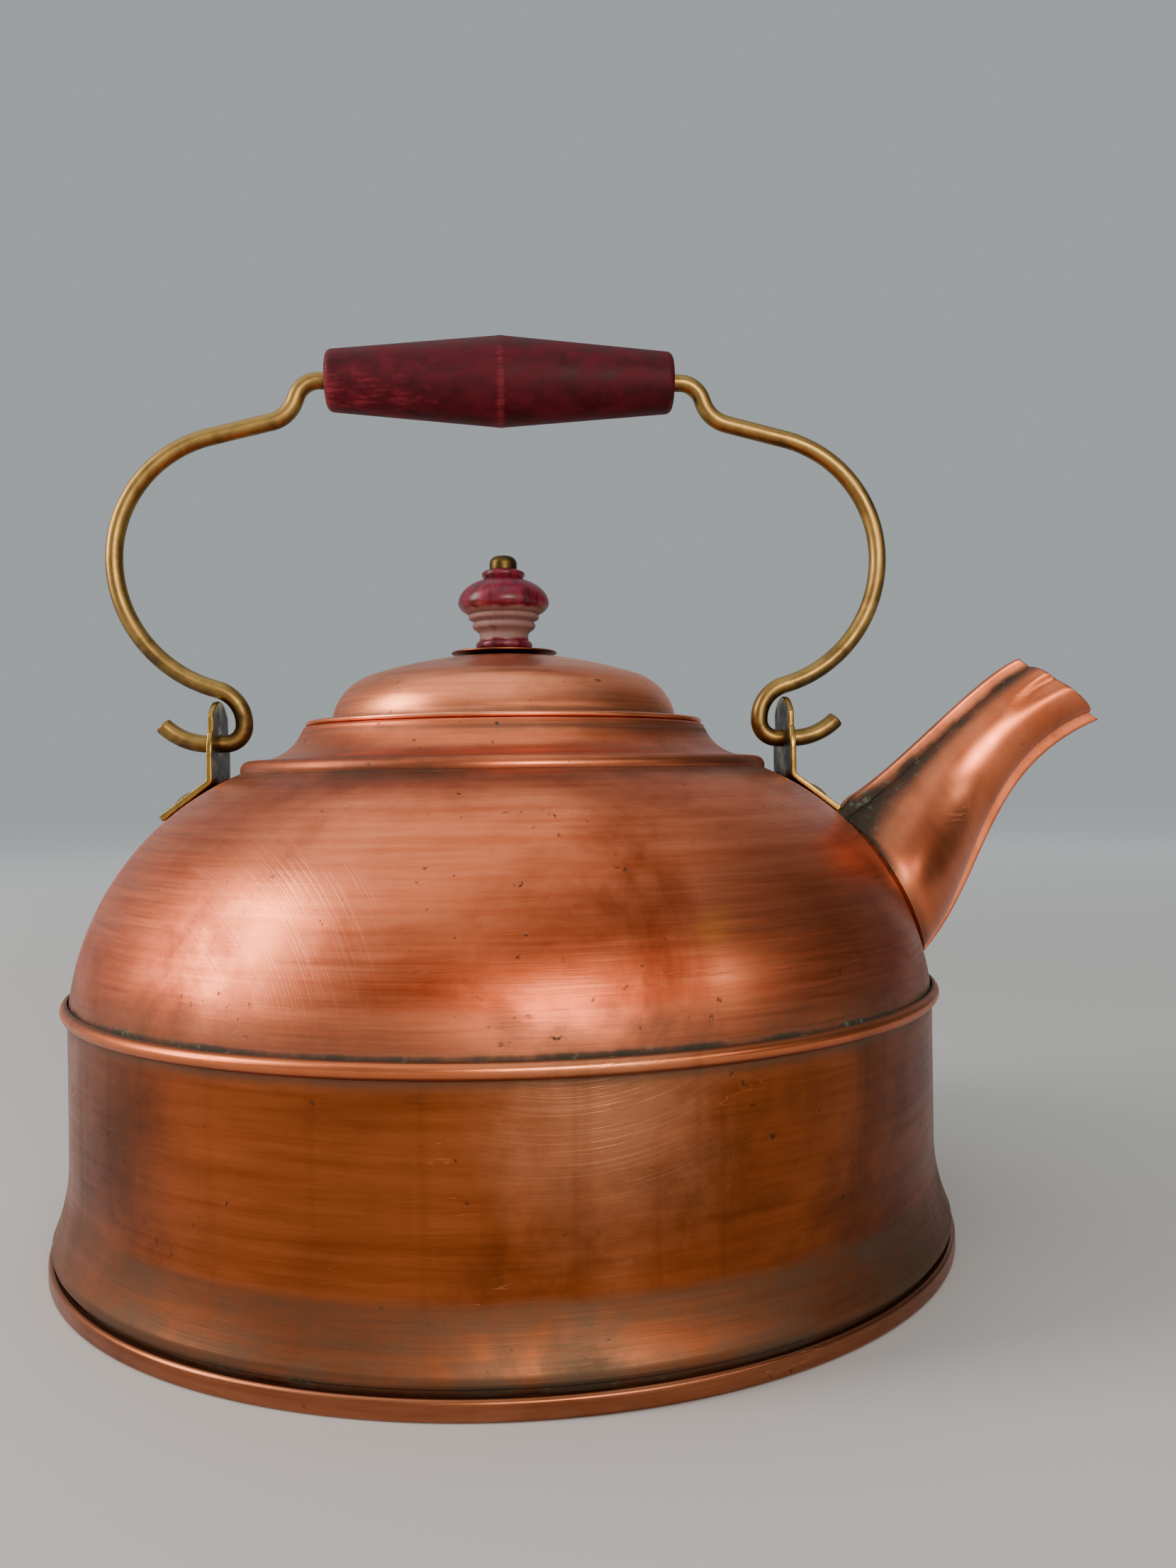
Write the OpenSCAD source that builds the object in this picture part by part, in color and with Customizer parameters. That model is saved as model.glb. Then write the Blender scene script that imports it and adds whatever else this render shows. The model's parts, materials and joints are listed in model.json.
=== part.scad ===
// Stovetop kettle with a swinging wire bail, a turned grip, a two-part spout and a lift-off lid.
// Origin: centre of the flat base, on the kettle's axis. +Z up, +X towards the spout.
// The bail stands upright at rest; the lid is seated.

/* [Body] */
// Outside radius of the straight side wall
body_r = 110.3; // [85:0.1:140]
// Height of the joint between the side wall and the dome
shoulder_z = 64.5; // [50:0.5:90]
// Sheet thickness of the shell
sheet = 1; // [0.8:0.1:1.5]
// Radius of the dome's profile arc
dome_arc = 68.4; // [60:0.1:90]
// How far the foot of the side wall flares out
flare_out = 3.9; // [2:0.1:6]
// Height of the flared foot
flare_h = 27; // [20:0.5:36]

/* [Neck and lid] */
// Radius where the neck stands on the dome
neck_foot_r = 69.2; // [57:0.1:80]
// Height of the neck above its foot
neck_h = 12; // [9:0.1:16]
// How much narrower the neck is at the lid seat
neck_in = 16; // [12:0.1:20]
// Height of the lid's crown above the lid seat
lid_h = 19.2; // [14:0.1:26]
// Depth of the collar under the lid
collar_h = 12; // [8:0.5:13]

/* [Spout] */
// Half-width of the spout at its foot
spout_foot_w = 24.5; // [20:0.5:28]
// Half-width of the spout at its mouth
spout_tip_w = 8.6; // [7:0.1:12]
// Height of the seam rib along the spout
rib_h = 3.6; // [2:0.1:5]
// How far the spout reaches out past its foot
spout_reach = 52; // [44:1:62]

/* [Bail and grip] */
// Diameter of the bail wire
wire_d = 4.6; // [3.6:0.1:6]
// Distance of each ear's middle from the neck's foot
ear_gap = 7; // [6:0.1:10]
// Height of the grip's centre line above the hinge line
grip_rise = 96.9; // [80:0.1:117]
// Length of the grip
grip_len = 93; // [80:0.5:96]
// Largest diameter of the grip, at its ridge
grip_d = 24; // [20:0.5:30]
// Diameter of the grip at its ends
grip_end_d = 16.4; // [13:0.1:20]

/* [Knob] */
// Largest diameter of the knob
knob_d = 24.4; // [20:0.1:32]
// Diameter of the knob's screw
screw_d = 4; // [3:0.1:5]

/* [Hidden] */
$fn = 96;
neck_top_r = neck_foot_r - neck_in;
ear_x = neck_foot_r + ear_gap;
eps = 0.05;                                    // gap left between parts that are joined
fit_run = 0.08;                                // running clearance on a radius
flare_arc = ((flare_h - 7.5) ^ 2 + flare_out ^ 2) / (2 * flare_out);
dome_edge_r = body_r - 0.4;
dome_edge_a = 7.5;
dome_cr = dome_edge_r - dome_arc * cos(dome_edge_a);
dome_cz = shoulder_z - dome_arc * sin(dome_edge_a);
neck_z = dome_z(neck_foot_r);
seat_z = neck_z + neck_h;
cove_r = 12.3;                                 // hollow of the neck
lip_in_r = neck_top_r - 2.8;                   // mouth of the neck
lid_r = neck_top_r - 0.5;
lid_z = seat_z + 0.1;
flange_t = 1.3;
crown_arc = 115;
corner_arc = 14.5;
lid_wall_r = lid_r - 6.7;
lid_a = asin((lid_wall_r - corner_arc) / (crown_arc - corner_arc));
crown_z = lid_z + lid_h;
collar_r = lip_in_r - 0.5;
collar_t = 0.8;
washer_r = 14.2;
washer_t = 0.8;
washer_z = crown_z + eps;
knob_z = washer_z + washer_t + eps;
knob_r = knob_d / 2;
knob_top = knob_z + 22;
screw_r = screw_d / 2;
wire_r = wire_d / 2;
ear_t = 1.5;
tongue_w = 18;
foot_r = ear_x + 7.3;                          // where the rivet goes through the dome
foot_a = dome_a(foot_r);
foot_z = dome_z(foot_r);
foot_past = 6;                                 // how far the ear's foot runs past its rivet
hinge_z = foot_z + 16.6;
rivet_r = 2.5;
rivet_head_r = 5.5;
grip_z = hinge_z + grip_rise;
spout_fw = 2.4;                                // flange round the spout's foot
rib_foot = 1.6;                                // height of the upper rib where it meets the dome
// the upper rib starts just past the ear's foot, measured along the dome
spout_top_a = foot_a - (foot_past + 0.35 + 1.25 * (rib_foot + 0.2 * spout_fw)) * 180 / (PI * dome_arc);
spout_top_z = dome_cz + dome_arc * sin(spout_top_a);
spout_low_z = shoulder_z + 3;
rows = 26;                                     // stations along the spout
cols = 22;                                     // points round each half of it
foot_fade = 0.32;                              // share of the spout that bends to meet the dome

function dome_z(r) = dome_cz + sqrt(dome_arc ^ 2 - (r - dome_cr) ^ 2);
function dome_r(z, lift = 0) = dome_cr + sqrt((dome_arc + lift) ^ 2 - (z - dome_cz) ^ 2);
function dome_a(r) = acos((r - dome_cr) / dome_arc);
function arc(c, r, a0, a1, n) =
    [for (i = [0:n]) let (a = a0 + (a1 - a0) * i / n) c + r * [cos(a), sin(a)]];
function beside(p, t) =
    [for (i = [0:len(p) - 1])
        let (d = p[min(i + 1, len(p) - 1)] - p[max(i - 1, 0)])
        p[i] + t * [d[1], -d[0]] / norm(d)];
function back(p) = [for (i = [len(p) - 1:-1:0]) p[i]];
function bez(p, t) = (1 - t) ^ 3 * p[0] + 3 * (1 - t) ^ 2 * t * p[1] + 3 * (1 - t) * t ^ 2 * p[2] + t ^ 3 * p[3];
function ease(t) = let (c = min(max(t, 0), 1)) c * c * (3 - 2 * c);

module sheet_of(path, t) {
    rotate_extrude() polygon(concat(path, back(beside(path, t))));
}

// ---------------------------------------------------------------- body
neck_foot = [neck_foot_r, neck_z];
cove_c = [neck_top_r + cove_r - 0.5, seat_z + 3.6];
dome_path = concat(
    arc(cove_c, cove_r, 197, 268, 9),
    arc(neck_foot + [-2.4, 0.8], 2.4, 100, -15, 8),
    arc([dome_cr, dome_cz], dome_arc, dome_a(neck_foot_r + 0.1), 4.9, 26));

module spout_hole() {
    translate([dome_r(spout_mid_z), 0, spout_mid_z]) rotate([0, 90 - dome_a(dome_r(spout_mid_z)), 0])
        translate([0, 0, -12]) cylinder(r = spout_foot_w - 8.5, h = 24);
}

module on_foot(side) {
    mirror([side < 0 ? 1 : 0, 0, 0]) translate([foot_r, 0, foot_z]) rotate([0, 90 - foot_a, 0]) children();
}

// Dome, neck and lid seat, pressed from one sheet
module dome_shell() {
    color([0.78, 0.42, 0.28]) difference() {
        union() {
            sheet_of(dome_path, sheet);
            rotate_extrude() polygon([[lip_in_r, seat_z], [neck_top_r - 0.6, seat_z],
                [neck_top_r + 0.1, seat_z - 1], [neck_top_r, seat_z - 2.2], [lip_in_r, seat_z - 1.4]]);
        }
        spout_hole();
        for (side = [-1, 1]) on_foot(side) translate([0, 0, -8]) cylinder(r = rivet_r + eps, h = 16);
    }
}

// Side wall: bead round the top, straight wall, flared foot tucked into the rim
module side_wall() {
    bead_c = [body_r, shoulder_z - 2.1];
    lip_r = body_r + flare_out - 1.2;
    color([0.72, 0.34, 0.2]) rotate_extrude() polygon(concat(
        [[dome_edge_r + 0.45, shoulder_z - 0.2]],
        arc(bead_c, 1.75, 80, -90, 10),
        [[body_r, flare_h]],
        arc([body_r + flare_arc, flare_h], flare_arc, 183, 180 + asin((flare_h - 7.5) / flare_arc), 8),
        arc([lip_r, 6.5], 1.3, 20, -90, 6),
        [[rim_in_r - eps, 5.2], [rim_in_r - eps, sheet + eps], [rim_in_r - 1, sheet + eps],
         [rim_in_r - 1, 7.5], [body_r, 15], [body_r - sheet, 21], [body_r - sheet, shoulder_z - 4.1],
         [dome_edge_r + 0.45, shoulder_z - 4.1]]));
}

// Flat base with its edge turned up round the foot of the wall
rim_in_r = body_r + flare_out - 1.25;
module base_disc() {
    top = [rim_in_r + 1.08, 3.3];
    color([0.74, 0.38, 0.24]) rotate_extrude() polygon(concat(
        [[0, 0]], arc([rim_in_r + 1.36, 0.8], 0.8, -90, 0, 4), arc(top, 1.08, 0, 180, 10),
        [[rim_in_r, sheet], [0, sheet]]));
}

// ---------------------------------------------------------------- spout
spout_mid_z = (spout_top_z + spout_low_z) / 2;
spout_hi0 = [dome_r(spout_top_z), spout_top_z];
spout_lo0 = [dome_r(spout_low_z), spout_low_z];
reach = spout_reach / 52;
spout_hi = [spout_hi0, spout_hi0 + reach * [16.4, 6.8], spout_hi0 + reach * [37.2, 32.6],
            spout_hi0 + reach * [54.6, 41.5]];
spout_lo = [spout_lo0, spout_lo0 + reach * [20.9, 20.2], spout_lo0 + reach * [19.3, 53.4],
            spout_lo0 + reach * [52, 65.4]];

// Half-width of the spout a share t of the way along it
function spout_w(t) = spout_tip_w + (spout_foot_w - spout_tip_w) * (1 - ease(t / 0.62)) ^ 1.5
                      + 2.6 * (1 - t) * ease(t / 0.4);
// Fullness round the half section: a shallow valley runs into the mouth
function spout_bow(t, a) = sin(a) ^ 0.85 * (1 - 0.2 * ease((t - 0.72) / 0.28) * exp(-((a - 66) / 15) ^ 2));
function spout_put(t, u, v) =
    let (hi = bez(spout_hi, t), lo = bez(spout_lo, t), m = (hi + lo) / 2, e = (hi - lo) / norm(hi - lo))
    [m[0] + e[0] * u, -v, m[1] + e[1] * u];
function spout_half(t) = norm(bez(spout_hi, t) - bez(spout_lo, t)) / 2;
function on_dome(p, lift) = [sqrt(dome_r(p[2], lift) ^ 2 - p[1] ^ 2), p[1], p[2]];

// One section: rib tips, outer curve, then the inner curve; grow spreads the foot flange
function spout_uv(t, grow) =
    let (h = spout_half(t), w = spout_w(t) - sheet, b = rib_h,
         up = rib_foot + (rib_h - rib_foot) * ease(t / 0.12))
    concat(
        [[h + up + grow * 0.2, eps], [h + up + grow * 0.2, eps + sheet]],
        [for (i = [0:cols]) let (a = 180 * i / cols)
            [h * cos(a) + grow * cos(a) * sin(a), eps + sheet + w * spout_bow(t, a) + grow * sin(a)]],
        [[-h - b - grow * 0.2, eps + sheet], [-h - b - grow * 0.2, eps]],
        [for (i = [cols:-1:0]) let (a = 180 * i / cols)
            [(h - sheet) * cos(a) + grow * cos(a) * sin(a), eps + w * spout_bow(t, a) + grow * sin(a)]]);
function spout_ring(t, grow, lift) =
    let (uv = spout_uv(t, grow), foot = spout_uv(0, grow), k = (1 - min(t / foot_fade, 1)) ^ 2, n = len(uv))
    [for (i = [0:n - 1])
        let (p = spout_put(t, uv[i][0], uv[i][1]), q = spout_put(0, foot[i][0], foot[i][1]),
             up = i < cols + 5 ? lift + sheet : lift)
        p + k * (on_dome(q, up) - q)];

module spout_shell() {
    n = 2 * cols + 6;
    rings = concat([spout_ring(0, spout_fw, eps)], [for (j = [0:rows]) spout_ring(j / rows, 0, eps)]);
    m = len(rings);
    skin = [for (j = [0:m - 2]) for (i = [0:n - 1])
        let (a = j * n + i, b = j * n + (i + 1) % n, c = a + n, d = b + n) each [[a, b, d], [a, d, c]]];
    pairs = concat(
        [[0, 1, 2, n - 1]],
        [for (i = [0:cols - 1]) [2 + i, 3 + i, n - 2 - i, n - 1 - i]],
        [[cols + 2, cols + 3, cols + 4, cols + 5]]);
    foot_cap = [for (q = pairs) each [[q[0], q[2], q[1]], [q[0], q[3], q[2]]]];
    o = (m - 1) * n;
    mouth_cap = [for (q = pairs) each [[o + q[0], o + q[1], o + q[2]], [o + q[0], o + q[2], o + q[3]]]];
    polyhedron(points = [for (r = rings) each r], faces = concat(skin, foot_cap, mouth_cap), convexity = 6);
}

// Half of the spout on the -Y side
module spout_near() { color([0.8, 0.42, 0.27]) spout_shell(); }
// Half of the spout on the +Y side
module spout_far() { color([0.8, 0.42, 0.27]) mirror([0, 1, 0]) spout_shell(); }

// ---------------------------------------------------------------- ears
bend_in = 1.1;
module ear() {
    turn = foot_a;                             // the plate turns through this much to follow the dome
    c0 = ear_x + ear_t / 2 + bend_in;
    c = [c0, foot_z + (eps + ear_t + bend_in - (c0 - foot_r) * cos(turn)) / sin(turn)];
    foot_len = (foot_r - c[0]) * sin(turn) + (c[1] - foot_z) * cos(turn) + foot_past;
    difference() {
        union() {
            // upright plate: wide shoulders and a narrower round-topped tongue
            translate([ear_x - ear_t / 2, 0, 0]) rotate([90, 0, 90]) linear_extrude(ear_t) {
                translate([-ear_w / 2, c[1] - 0.2]) square([ear_w, hinge_z - 2.4 - c[1]]);
                intersection() {
                    translate([0, hinge_z - 3]) circle(r = ear_w / 2);
                    translate([-ear_w / 2, hinge_z - 3]) square([ear_w, 6]);
                }
                intersection() {
                    translate([0, hinge_z]) circle(r = tongue_top);
                    translate([-tongue_w / 2, hinge_z]) square([tongue_w, tongue_top]);
                }
            }
            // bend
            translate([c[0], ear_w / 2, c[1]]) rotate([90, 0, 0]) rotate([0, 0, 180])
                rotate_extrude(angle = turn) translate([bend_in, 0]) square([ear_t, ear_w]);
            // foot
            translate([c[0], 0, c[1]]) rotate([0, 90 - turn, 0]) translate([-0.2, -ear_w / 2, -bend_in - ear_t])
                cube([foot_len + 0.2, ear_w, ear_t]);
        }
        translate([ear_x - 5, 0, hinge_z]) rotate([0, 90, 0]) cylinder(r = wire_r + fit_run, h = 10);
        on_foot(1) translate([0, 0, -6]) cylinder(r = rivet_r + eps, h = 14);
    }
}
module ear_spout_side() { color([0.76, 0.6, 0.28]) ear(); }
module ear_back_side() { color([0.76, 0.6, 0.28]) mirror([1, 0, 0]) ear(); }

// Rivets that hold the ears, with their tails hammered over inside
foot_top = eps + ear_t;
tail_z = -sheet - 1.6;
module ear_rivets() {
    cap = 2;
    sphere_r = (rivet_head_r ^ 2 + cap ^ 2) / (2 * cap);
    color([0.8, 0.64, 0.32]) for (side = [-1, 1]) on_foot(side) rotate_extrude() polygon(concat(
        [[0, tail_z - 1], [rivet_head_r - 2, tail_z - 1], [rivet_head_r - 2, tail_z - eps],
         [rivet_r, tail_z - eps], [rivet_r, foot_top + eps], [rivet_head_r, foot_top + eps]],
        arc([0, foot_top + eps + cap - sphere_r], sphere_r, asin((sphere_r - cap) / sphere_r), 90, 8)));
}

// Washers under the rivets' tails
module rivet_burrs() {
    color([0.74, 0.56, 0.26]) for (side = [-1, 1]) on_foot(side) translate([0, 0, tail_z]) difference() {
        cylinder(r = 4.6, h = 1.2);
        translate([0, 0, -1]) cylinder(r = rivet_r + eps, h = 4);
    }
}

// ---------------------------------------------------------------- bail
// The wire runs in the XZ plane: straight grip length, a step down, a shallow run,
// a wide bow, a tight loop over the ear, a pin through the ear and a curled tail.
bow_rise = 14.55;                              // how high the wire passes over the hinge line
run_a = 14;                                    // slope of the shallow run
in_a = 15.6;                                   // slope where the bow comes back in
bow_z = hinge_z + grip_rise * 0.508;           // level of the wire's furthest reach
bow_up_r = grip_rise * 0.346;
bow_dn_r = (bow_z - hinge_z - bow_rise) / cos(in_a);
bow_x = ear_x + 0.2 + bow_dn_r * (1 - sin(in_a));
pin_in = ear_x - 2;                            // inner end of the straight pin
pin_out = ear_x + 2.2;
loop_dn_r = 4.9;
loop_x = pin_in - loop_dn_r;                   // innermost reach of the wire's centre
bow_end = [bow_x - bow_dn_r + bow_dn_r * sin(in_a), bow_z - bow_dn_r * cos(in_a)];
loop_up_r = (bow_end[0] - loop_x) / (1 - sin(in_a));
loop_c = [loop_x + loop_up_r, bow_end[1] - loop_up_r * cos(in_a)];
// the bail swings over the tongue and past the shoulders
tongue_top = loop_c[1] - hinge_z - 0.35 +
             sqrt((loop_up_r - wire_r) ^ 2 - (loop_c[0] - ear_x + ear_t / 2) ^ 2);
ear_w = 2 * tongue_top - 0.3;
bow_start = [bow_x - bow_up_r + bow_up_r * sin(run_a), bow_z + bow_up_r * cos(run_a)];
step_a = 70;                                   // steepness of the step down
step_top = [grip_len / 2 + 6.5, grip_z];
step_k = (grip_z - bow_start[1] - (bow_start[0] - step_top[0]) * tan(run_a)) /
         (sin(step_a) - cos(step_a) * tan(run_a));
step_low = step_top + step_k * [cos(step_a), -sin(step_a)];
bend1_r = 6.5;
bend2_r = 9;
b1 = bend1_r * tan(step_a / 2);
b2 = bend2_r * tan((step_a - run_a) / 2);
tail_r = 17;
tail_a = 46;

sides = 14;
half_wire = concat(
    [[0, grip_z]],
    arc(step_top - [b1, bend1_r], bend1_r, 90, 90 - step_a, 6),
    arc(step_low + b2 * [cos(run_a), -sin(run_a)] + bend2_r * [sin(run_a), cos(run_a)], bend2_r,
        270 - step_a, 270 - run_a, 5),
    arc([bow_x - bow_up_r, bow_z], bow_up_r, 90 - run_a, 0, 12),
    arc([bow_x - bow_dn_r, bow_z], bow_dn_r, -6, -90 + in_a, 11),
    arc(loop_c, loop_up_r, 90 + in_a + 12, 180, 5),
    arc([pin_in, hinge_z + loop_dn_r], loop_dn_r, 180, 270, 8),
    arc([pin_out, hinge_z + tail_r], tail_r, 270, 270 + tail_a, 6));

// Tube along a path in the XZ plane
module tube(path, r) {
    n = len(path);
    points = [for (i = [0:n - 1])
        let (d = path[min(i + 1, n - 1)] - path[max(i - 1, 0)], t = d / norm(d))
        for (k = [0:sides - 1]) let (a = 360 * k / sides)
            [path[i][0] - t[1] * r * cos(a), r * sin(a), path[i][1] + t[0] * r * cos(a)]];
    skin = [for (i = [0:n - 2]) for (k = [0:sides - 1])
        let (a = i * sides + k, b = i * sides + (k + 1) % sides)
        each [[a, b, b + sides], [a, b + sides, a + sides]]];
    polyhedron(points = points, convexity = 8,
        faces = concat(skin, [[for (k = [sides - 1:-1:0]) k]], [[for (k = [0:sides - 1]) (n - 1) * sides + k]]));
}
module bail_rod() {
    other = [for (i = [len(half_wire) - 1:-1:1]) [-half_wire[i][0], half_wire[i][1]]];
    color([0.72, 0.56, 0.24]) union() {
        tube(concat(other, [for (i = [1:len(half_wire) - 1]) half_wire[i]]), wire_r * 0.99);
        translate([-grip_len / 2 - 1.2, 0, grip_z]) rotate([0, 90, 0]) cylinder(r = wire_r, h = grip_len + 2.4);
        for (side = [-1, 1]) translate([side * ear_x - 2.2, 0, hinge_z]) rotate([0, 90, 0])
            cylinder(r = wire_r, h = 4.4);
    }
}

// Turned grip, loose on the wire
module grip() {
    bore = wire_r + 0.1;
    round_r = 1.8;
    l = grip_len / 2;
    slope = atan2((grip_d - grip_end_d) / 2, l);
    color([0.36, 0.1, 0.12]) translate([0, 0, grip_z]) rotate([0, 90, 0]) rotate_extrude() polygon(concat(
        [[bore, -l], [grip_end_d / 2 - round_r, -l]],
        arc([grip_end_d / 2 - round_r, -l + round_r], round_r, -80, -slope, 5),
        [[grip_d / 2 - 0.15, -1.2], [grip_d / 2, 0], [grip_d / 2 - 0.15, 1.2]],
        arc([grip_end_d / 2 - round_r, l - round_r], round_r, slope, 80, 5),
        [[grip_end_d / 2 - round_r, l], [bore, l]]));
}

// ---------------------------------------------------------------- lid and knob
module lid_dome() {
    corner_c = [lid_wall_r - corner_arc, crown_z - crown_arc + (crown_arc - corner_arc) * cos(lid_a)];
    path = concat(
        [[screw_r + fit_run, crown_z - 0.02]],
        arc([0, crown_z - crown_arc], crown_arc, 90 - asin(9 / crown_arc), 90 - lid_a, 8),
        arc(corner_c, corner_arc, 88 - lid_a, 6, 9),
        [[lid_wall_r + 0.1, lid_z + flange_t]]);
    color([0.8, 0.44, 0.3]) union() {
        sheet_of(path, sheet - 0.1);
        rotate_extrude() polygon(concat(
            [[lid_wall_r - 1, lid_z], [lid_r - 0.65, lid_z]],
            arc([lid_r - 0.65, lid_z + flange_t / 2], flange_t / 2, -60, 90, 5),
            [[lid_wall_r - 1, lid_z + flange_t]]));
    }
}
module lid_collar() {
    color([0.74, 0.4, 0.28]) translate([0, 0, lid_z - collar_h]) difference() {
        cylinder(r = collar_r, h = collar_h - eps);
        translate([0, 0, -1]) cylinder(r = collar_r - collar_t, h = collar_h + 2);
    }
}
module knob_washer() {
    color([0.76, 0.42, 0.28]) rotate_extrude() polygon([[screw_r + fit_run, washer_z],
        [washer_r * 0.6, washer_z], [washer_r, washer_z + 0.25], [washer_r, washer_z + 0.25 + washer_t * 0.7],
        [washer_r * 0.6, washer_z + washer_t], [screw_r + fit_run, washer_z + washer_t]]);
}
module knob() {
    k = knob_r / 12.2;
    color([0.55, 0.16, 0.15]) translate([0, 0, knob_z]) rotate_extrude() polygon(concat(
        [[screw_r + fit_run, 0], [6.6 * k, 0]],
        arc([6.4 * k, 1.7], 1.2 * k, -60, 75, 6),
        [[6.6 * k, 3.6], [6.5 * k, 4.9], [7.4 * k, 5.4]],
        arc([7.4 * k, 7], 1.1 * k, -60, 60, 5),
        [[8.5 * k, 8.4]],
        arc([8.6 * k, 9.4], 0.9 * k, -70, 45, 4),
        [for (a = [-35:12.5:65]) [knob_r * cos(a), 13 + (a < 0 ? 4.6 : 7.2) * sin(a)]],
        arc([4.9 * k, 20.8], 0.9 * k, -40, 70, 4),
        [[4.6 * k, 22], [screw_r + fit_run, 22]]));
}
module knob_screw() {
    color([0.7, 0.55, 0.3]) union() {
        translate([0, 0, crown_z - sheet - 2.4]) cylinder(r = 4.2, h = 2.4 - eps);
        translate([0, 0, crown_z - sheet - 1]) cylinder(r = screw_r, h = knob_top - crown_z + sheet + 1 + 2);
    }
}
module knob_nut() {
    r = 3.7;
    color([0.8, 0.66, 0.36]) translate([0, 0, knob_top + eps]) rotate_extrude() polygon(concat(
        [[screw_r + eps, 0], [r, 0], [r, 1.6]], arc([r - 2.2, 1.6], 2.2, 10, 90, 6), [[0, 3.8]],
        [[0, 2.1], [screw_r + eps, 2.1]]));
}

dome_shell();
side_wall();
base_disc();
spout_near();
spout_far();
ear_spout_side();
ear_back_side();
ear_rivets();
rivet_burrs();
bail_rod();
grip();
lid_dome();
lid_collar();
knob();
knob_washer();
knob_screw();
knob_nut();
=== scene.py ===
"""Looks of a stovetop copper kettle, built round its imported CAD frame.

Sizes are in millimetres and become metres where a mesh is made. The origin is the centre
of the flat base, +Z is up and +X points towards the spout.
"""

import json
import logging
import math
from dataclasses import dataclass, field
from enum import Enum
from functools import partial
from typing import Callable, ClassVar, Dict, List, Optional, Sequence, Tuple, Union

import bmesh
import bpy
import numpy as np
from mathutils import Matrix, Vector


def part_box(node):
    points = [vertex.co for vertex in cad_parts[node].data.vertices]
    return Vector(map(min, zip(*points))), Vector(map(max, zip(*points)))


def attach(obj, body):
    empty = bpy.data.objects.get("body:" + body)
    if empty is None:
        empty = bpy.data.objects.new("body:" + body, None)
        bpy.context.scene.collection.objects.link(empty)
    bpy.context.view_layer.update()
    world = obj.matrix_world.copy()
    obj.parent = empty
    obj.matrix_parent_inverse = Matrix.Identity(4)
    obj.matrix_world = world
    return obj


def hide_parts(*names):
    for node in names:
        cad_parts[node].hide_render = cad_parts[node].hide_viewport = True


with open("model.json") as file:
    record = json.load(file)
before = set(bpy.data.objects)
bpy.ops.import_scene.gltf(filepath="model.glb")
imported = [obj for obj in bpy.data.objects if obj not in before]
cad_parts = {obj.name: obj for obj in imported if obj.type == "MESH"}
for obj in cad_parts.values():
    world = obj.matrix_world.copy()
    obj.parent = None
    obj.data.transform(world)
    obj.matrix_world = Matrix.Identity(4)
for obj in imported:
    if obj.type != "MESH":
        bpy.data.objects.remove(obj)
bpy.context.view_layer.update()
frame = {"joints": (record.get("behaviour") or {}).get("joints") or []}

LOG = logging.getLogger("kettle")
MM = 0.001
AROUND = 240                                   # steps round a turned piece
FEW_AROUND, SMALL_AROUND = 144, 72             # steps round a small piece and a smaller one
BROAD_DIRT = 0.42                              # depth of the soil round the crust in a crease
TINY = 1e-6                                    # a length below this counts as none
Amount = Union[float, np.ndarray]
Values = Dict[str, np.ndarray]
Sockets = Dict[str, bpy.types.NodeSocket]
Setting = Union[float, Tuple[float, ...], bpy.types.NodeSocket]
Inputs = Union[Sequence[Setting], Dict[Union[int, str], Setting]]
Adder = Callable[..., bpy.types.NodeSocket]


class Body(Enum):
    """The moving bodies of the frame."""

    SHELL = "body"
    BAIL = "bail"
    GRIP = "grip"
    LID = "lid"


class Slot(Enum):
    """The record's material slots."""

    COPPER = "copper"
    COPPER_WALL = "copper_wall"
    BRASS = "brass"
    BRASS_WIRE = "brass_wire"
    STAINED_WOOD = "stained_wood"
    PAINTED_WOOD = "painted_wood"


# ---------------------------------------------------------------- curves and surfaces
def arc(centre: Sequence[float], radius: float, start: float, end: float,
        steps: int) -> np.ndarray:
    """Points on a circular arc: the centre plus the radius turned from start to end, in degrees.

    Args:
        centre: Middle of the circle.
        radius: Its radius.
        start: First angle.
        end: Last angle.
        steps: Number of stretches between the points.

    Returns:
        An array of steps + 1 points.
    """
    a = np.radians(np.linspace(start, end, steps + 1))
    return np.asarray(centre) + radius * np.stack([np.cos(a), np.sin(a)], -1)


def run(*stretches: Sequence) -> np.ndarray:
    """Joins points and arcs into one path of (n, 2) points."""
    return np.vstack([np.atleast_2d(np.asarray(s, dtype=float)) for s in stretches])


def refine(path: np.ndarray, step: float) -> np.ndarray:
    """Adds points on the straight stretches of a path, so that none is longer than step.

    Args:
        path: (n, 2) points.
        step: The longest stretch allowed.

    Returns:
        The path's own points and the added ones.
    """
    ways = np.diff(path, axis=0)
    counts = np.maximum(np.ceil(np.linalg.norm(ways, axis=1) / step), 1).astype(int)
    parts = [start + way * np.linspace(0, 1, count, endpoint=False)[:, None]
             for start, way, count in zip(path, ways, counts)]
    return np.vstack(parts + [path[-1:]])


def beside(path: np.ndarray, distance: float) -> np.ndarray:
    """Moves each point of a path by a distance to the right of the path's direction there.

    Args:
        path: (n, 2) points.
        distance: How far to the right; below zero is left.

    Returns:
        The moved points.
    """
    d = np.gradient(path, axis=0)
    d /= np.linalg.norm(d, axis=1, keepdims=True)
    return path + distance * np.stack([d[:, 1], -d[:, 0]], -1)


def run_length(path: np.ndarray) -> np.ndarray:
    """Length run along a path up to each of its points."""
    return np.concatenate([[0.0], np.cumsum(np.linalg.norm(np.diff(path, axis=0), axis=1))])


def bell(gap: Amount, width: Amount) -> np.ndarray:
    """Bell curve: e to the power of minus the square of the gap over the width."""
    return np.exp(-((gap / width) ** 2))


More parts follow.
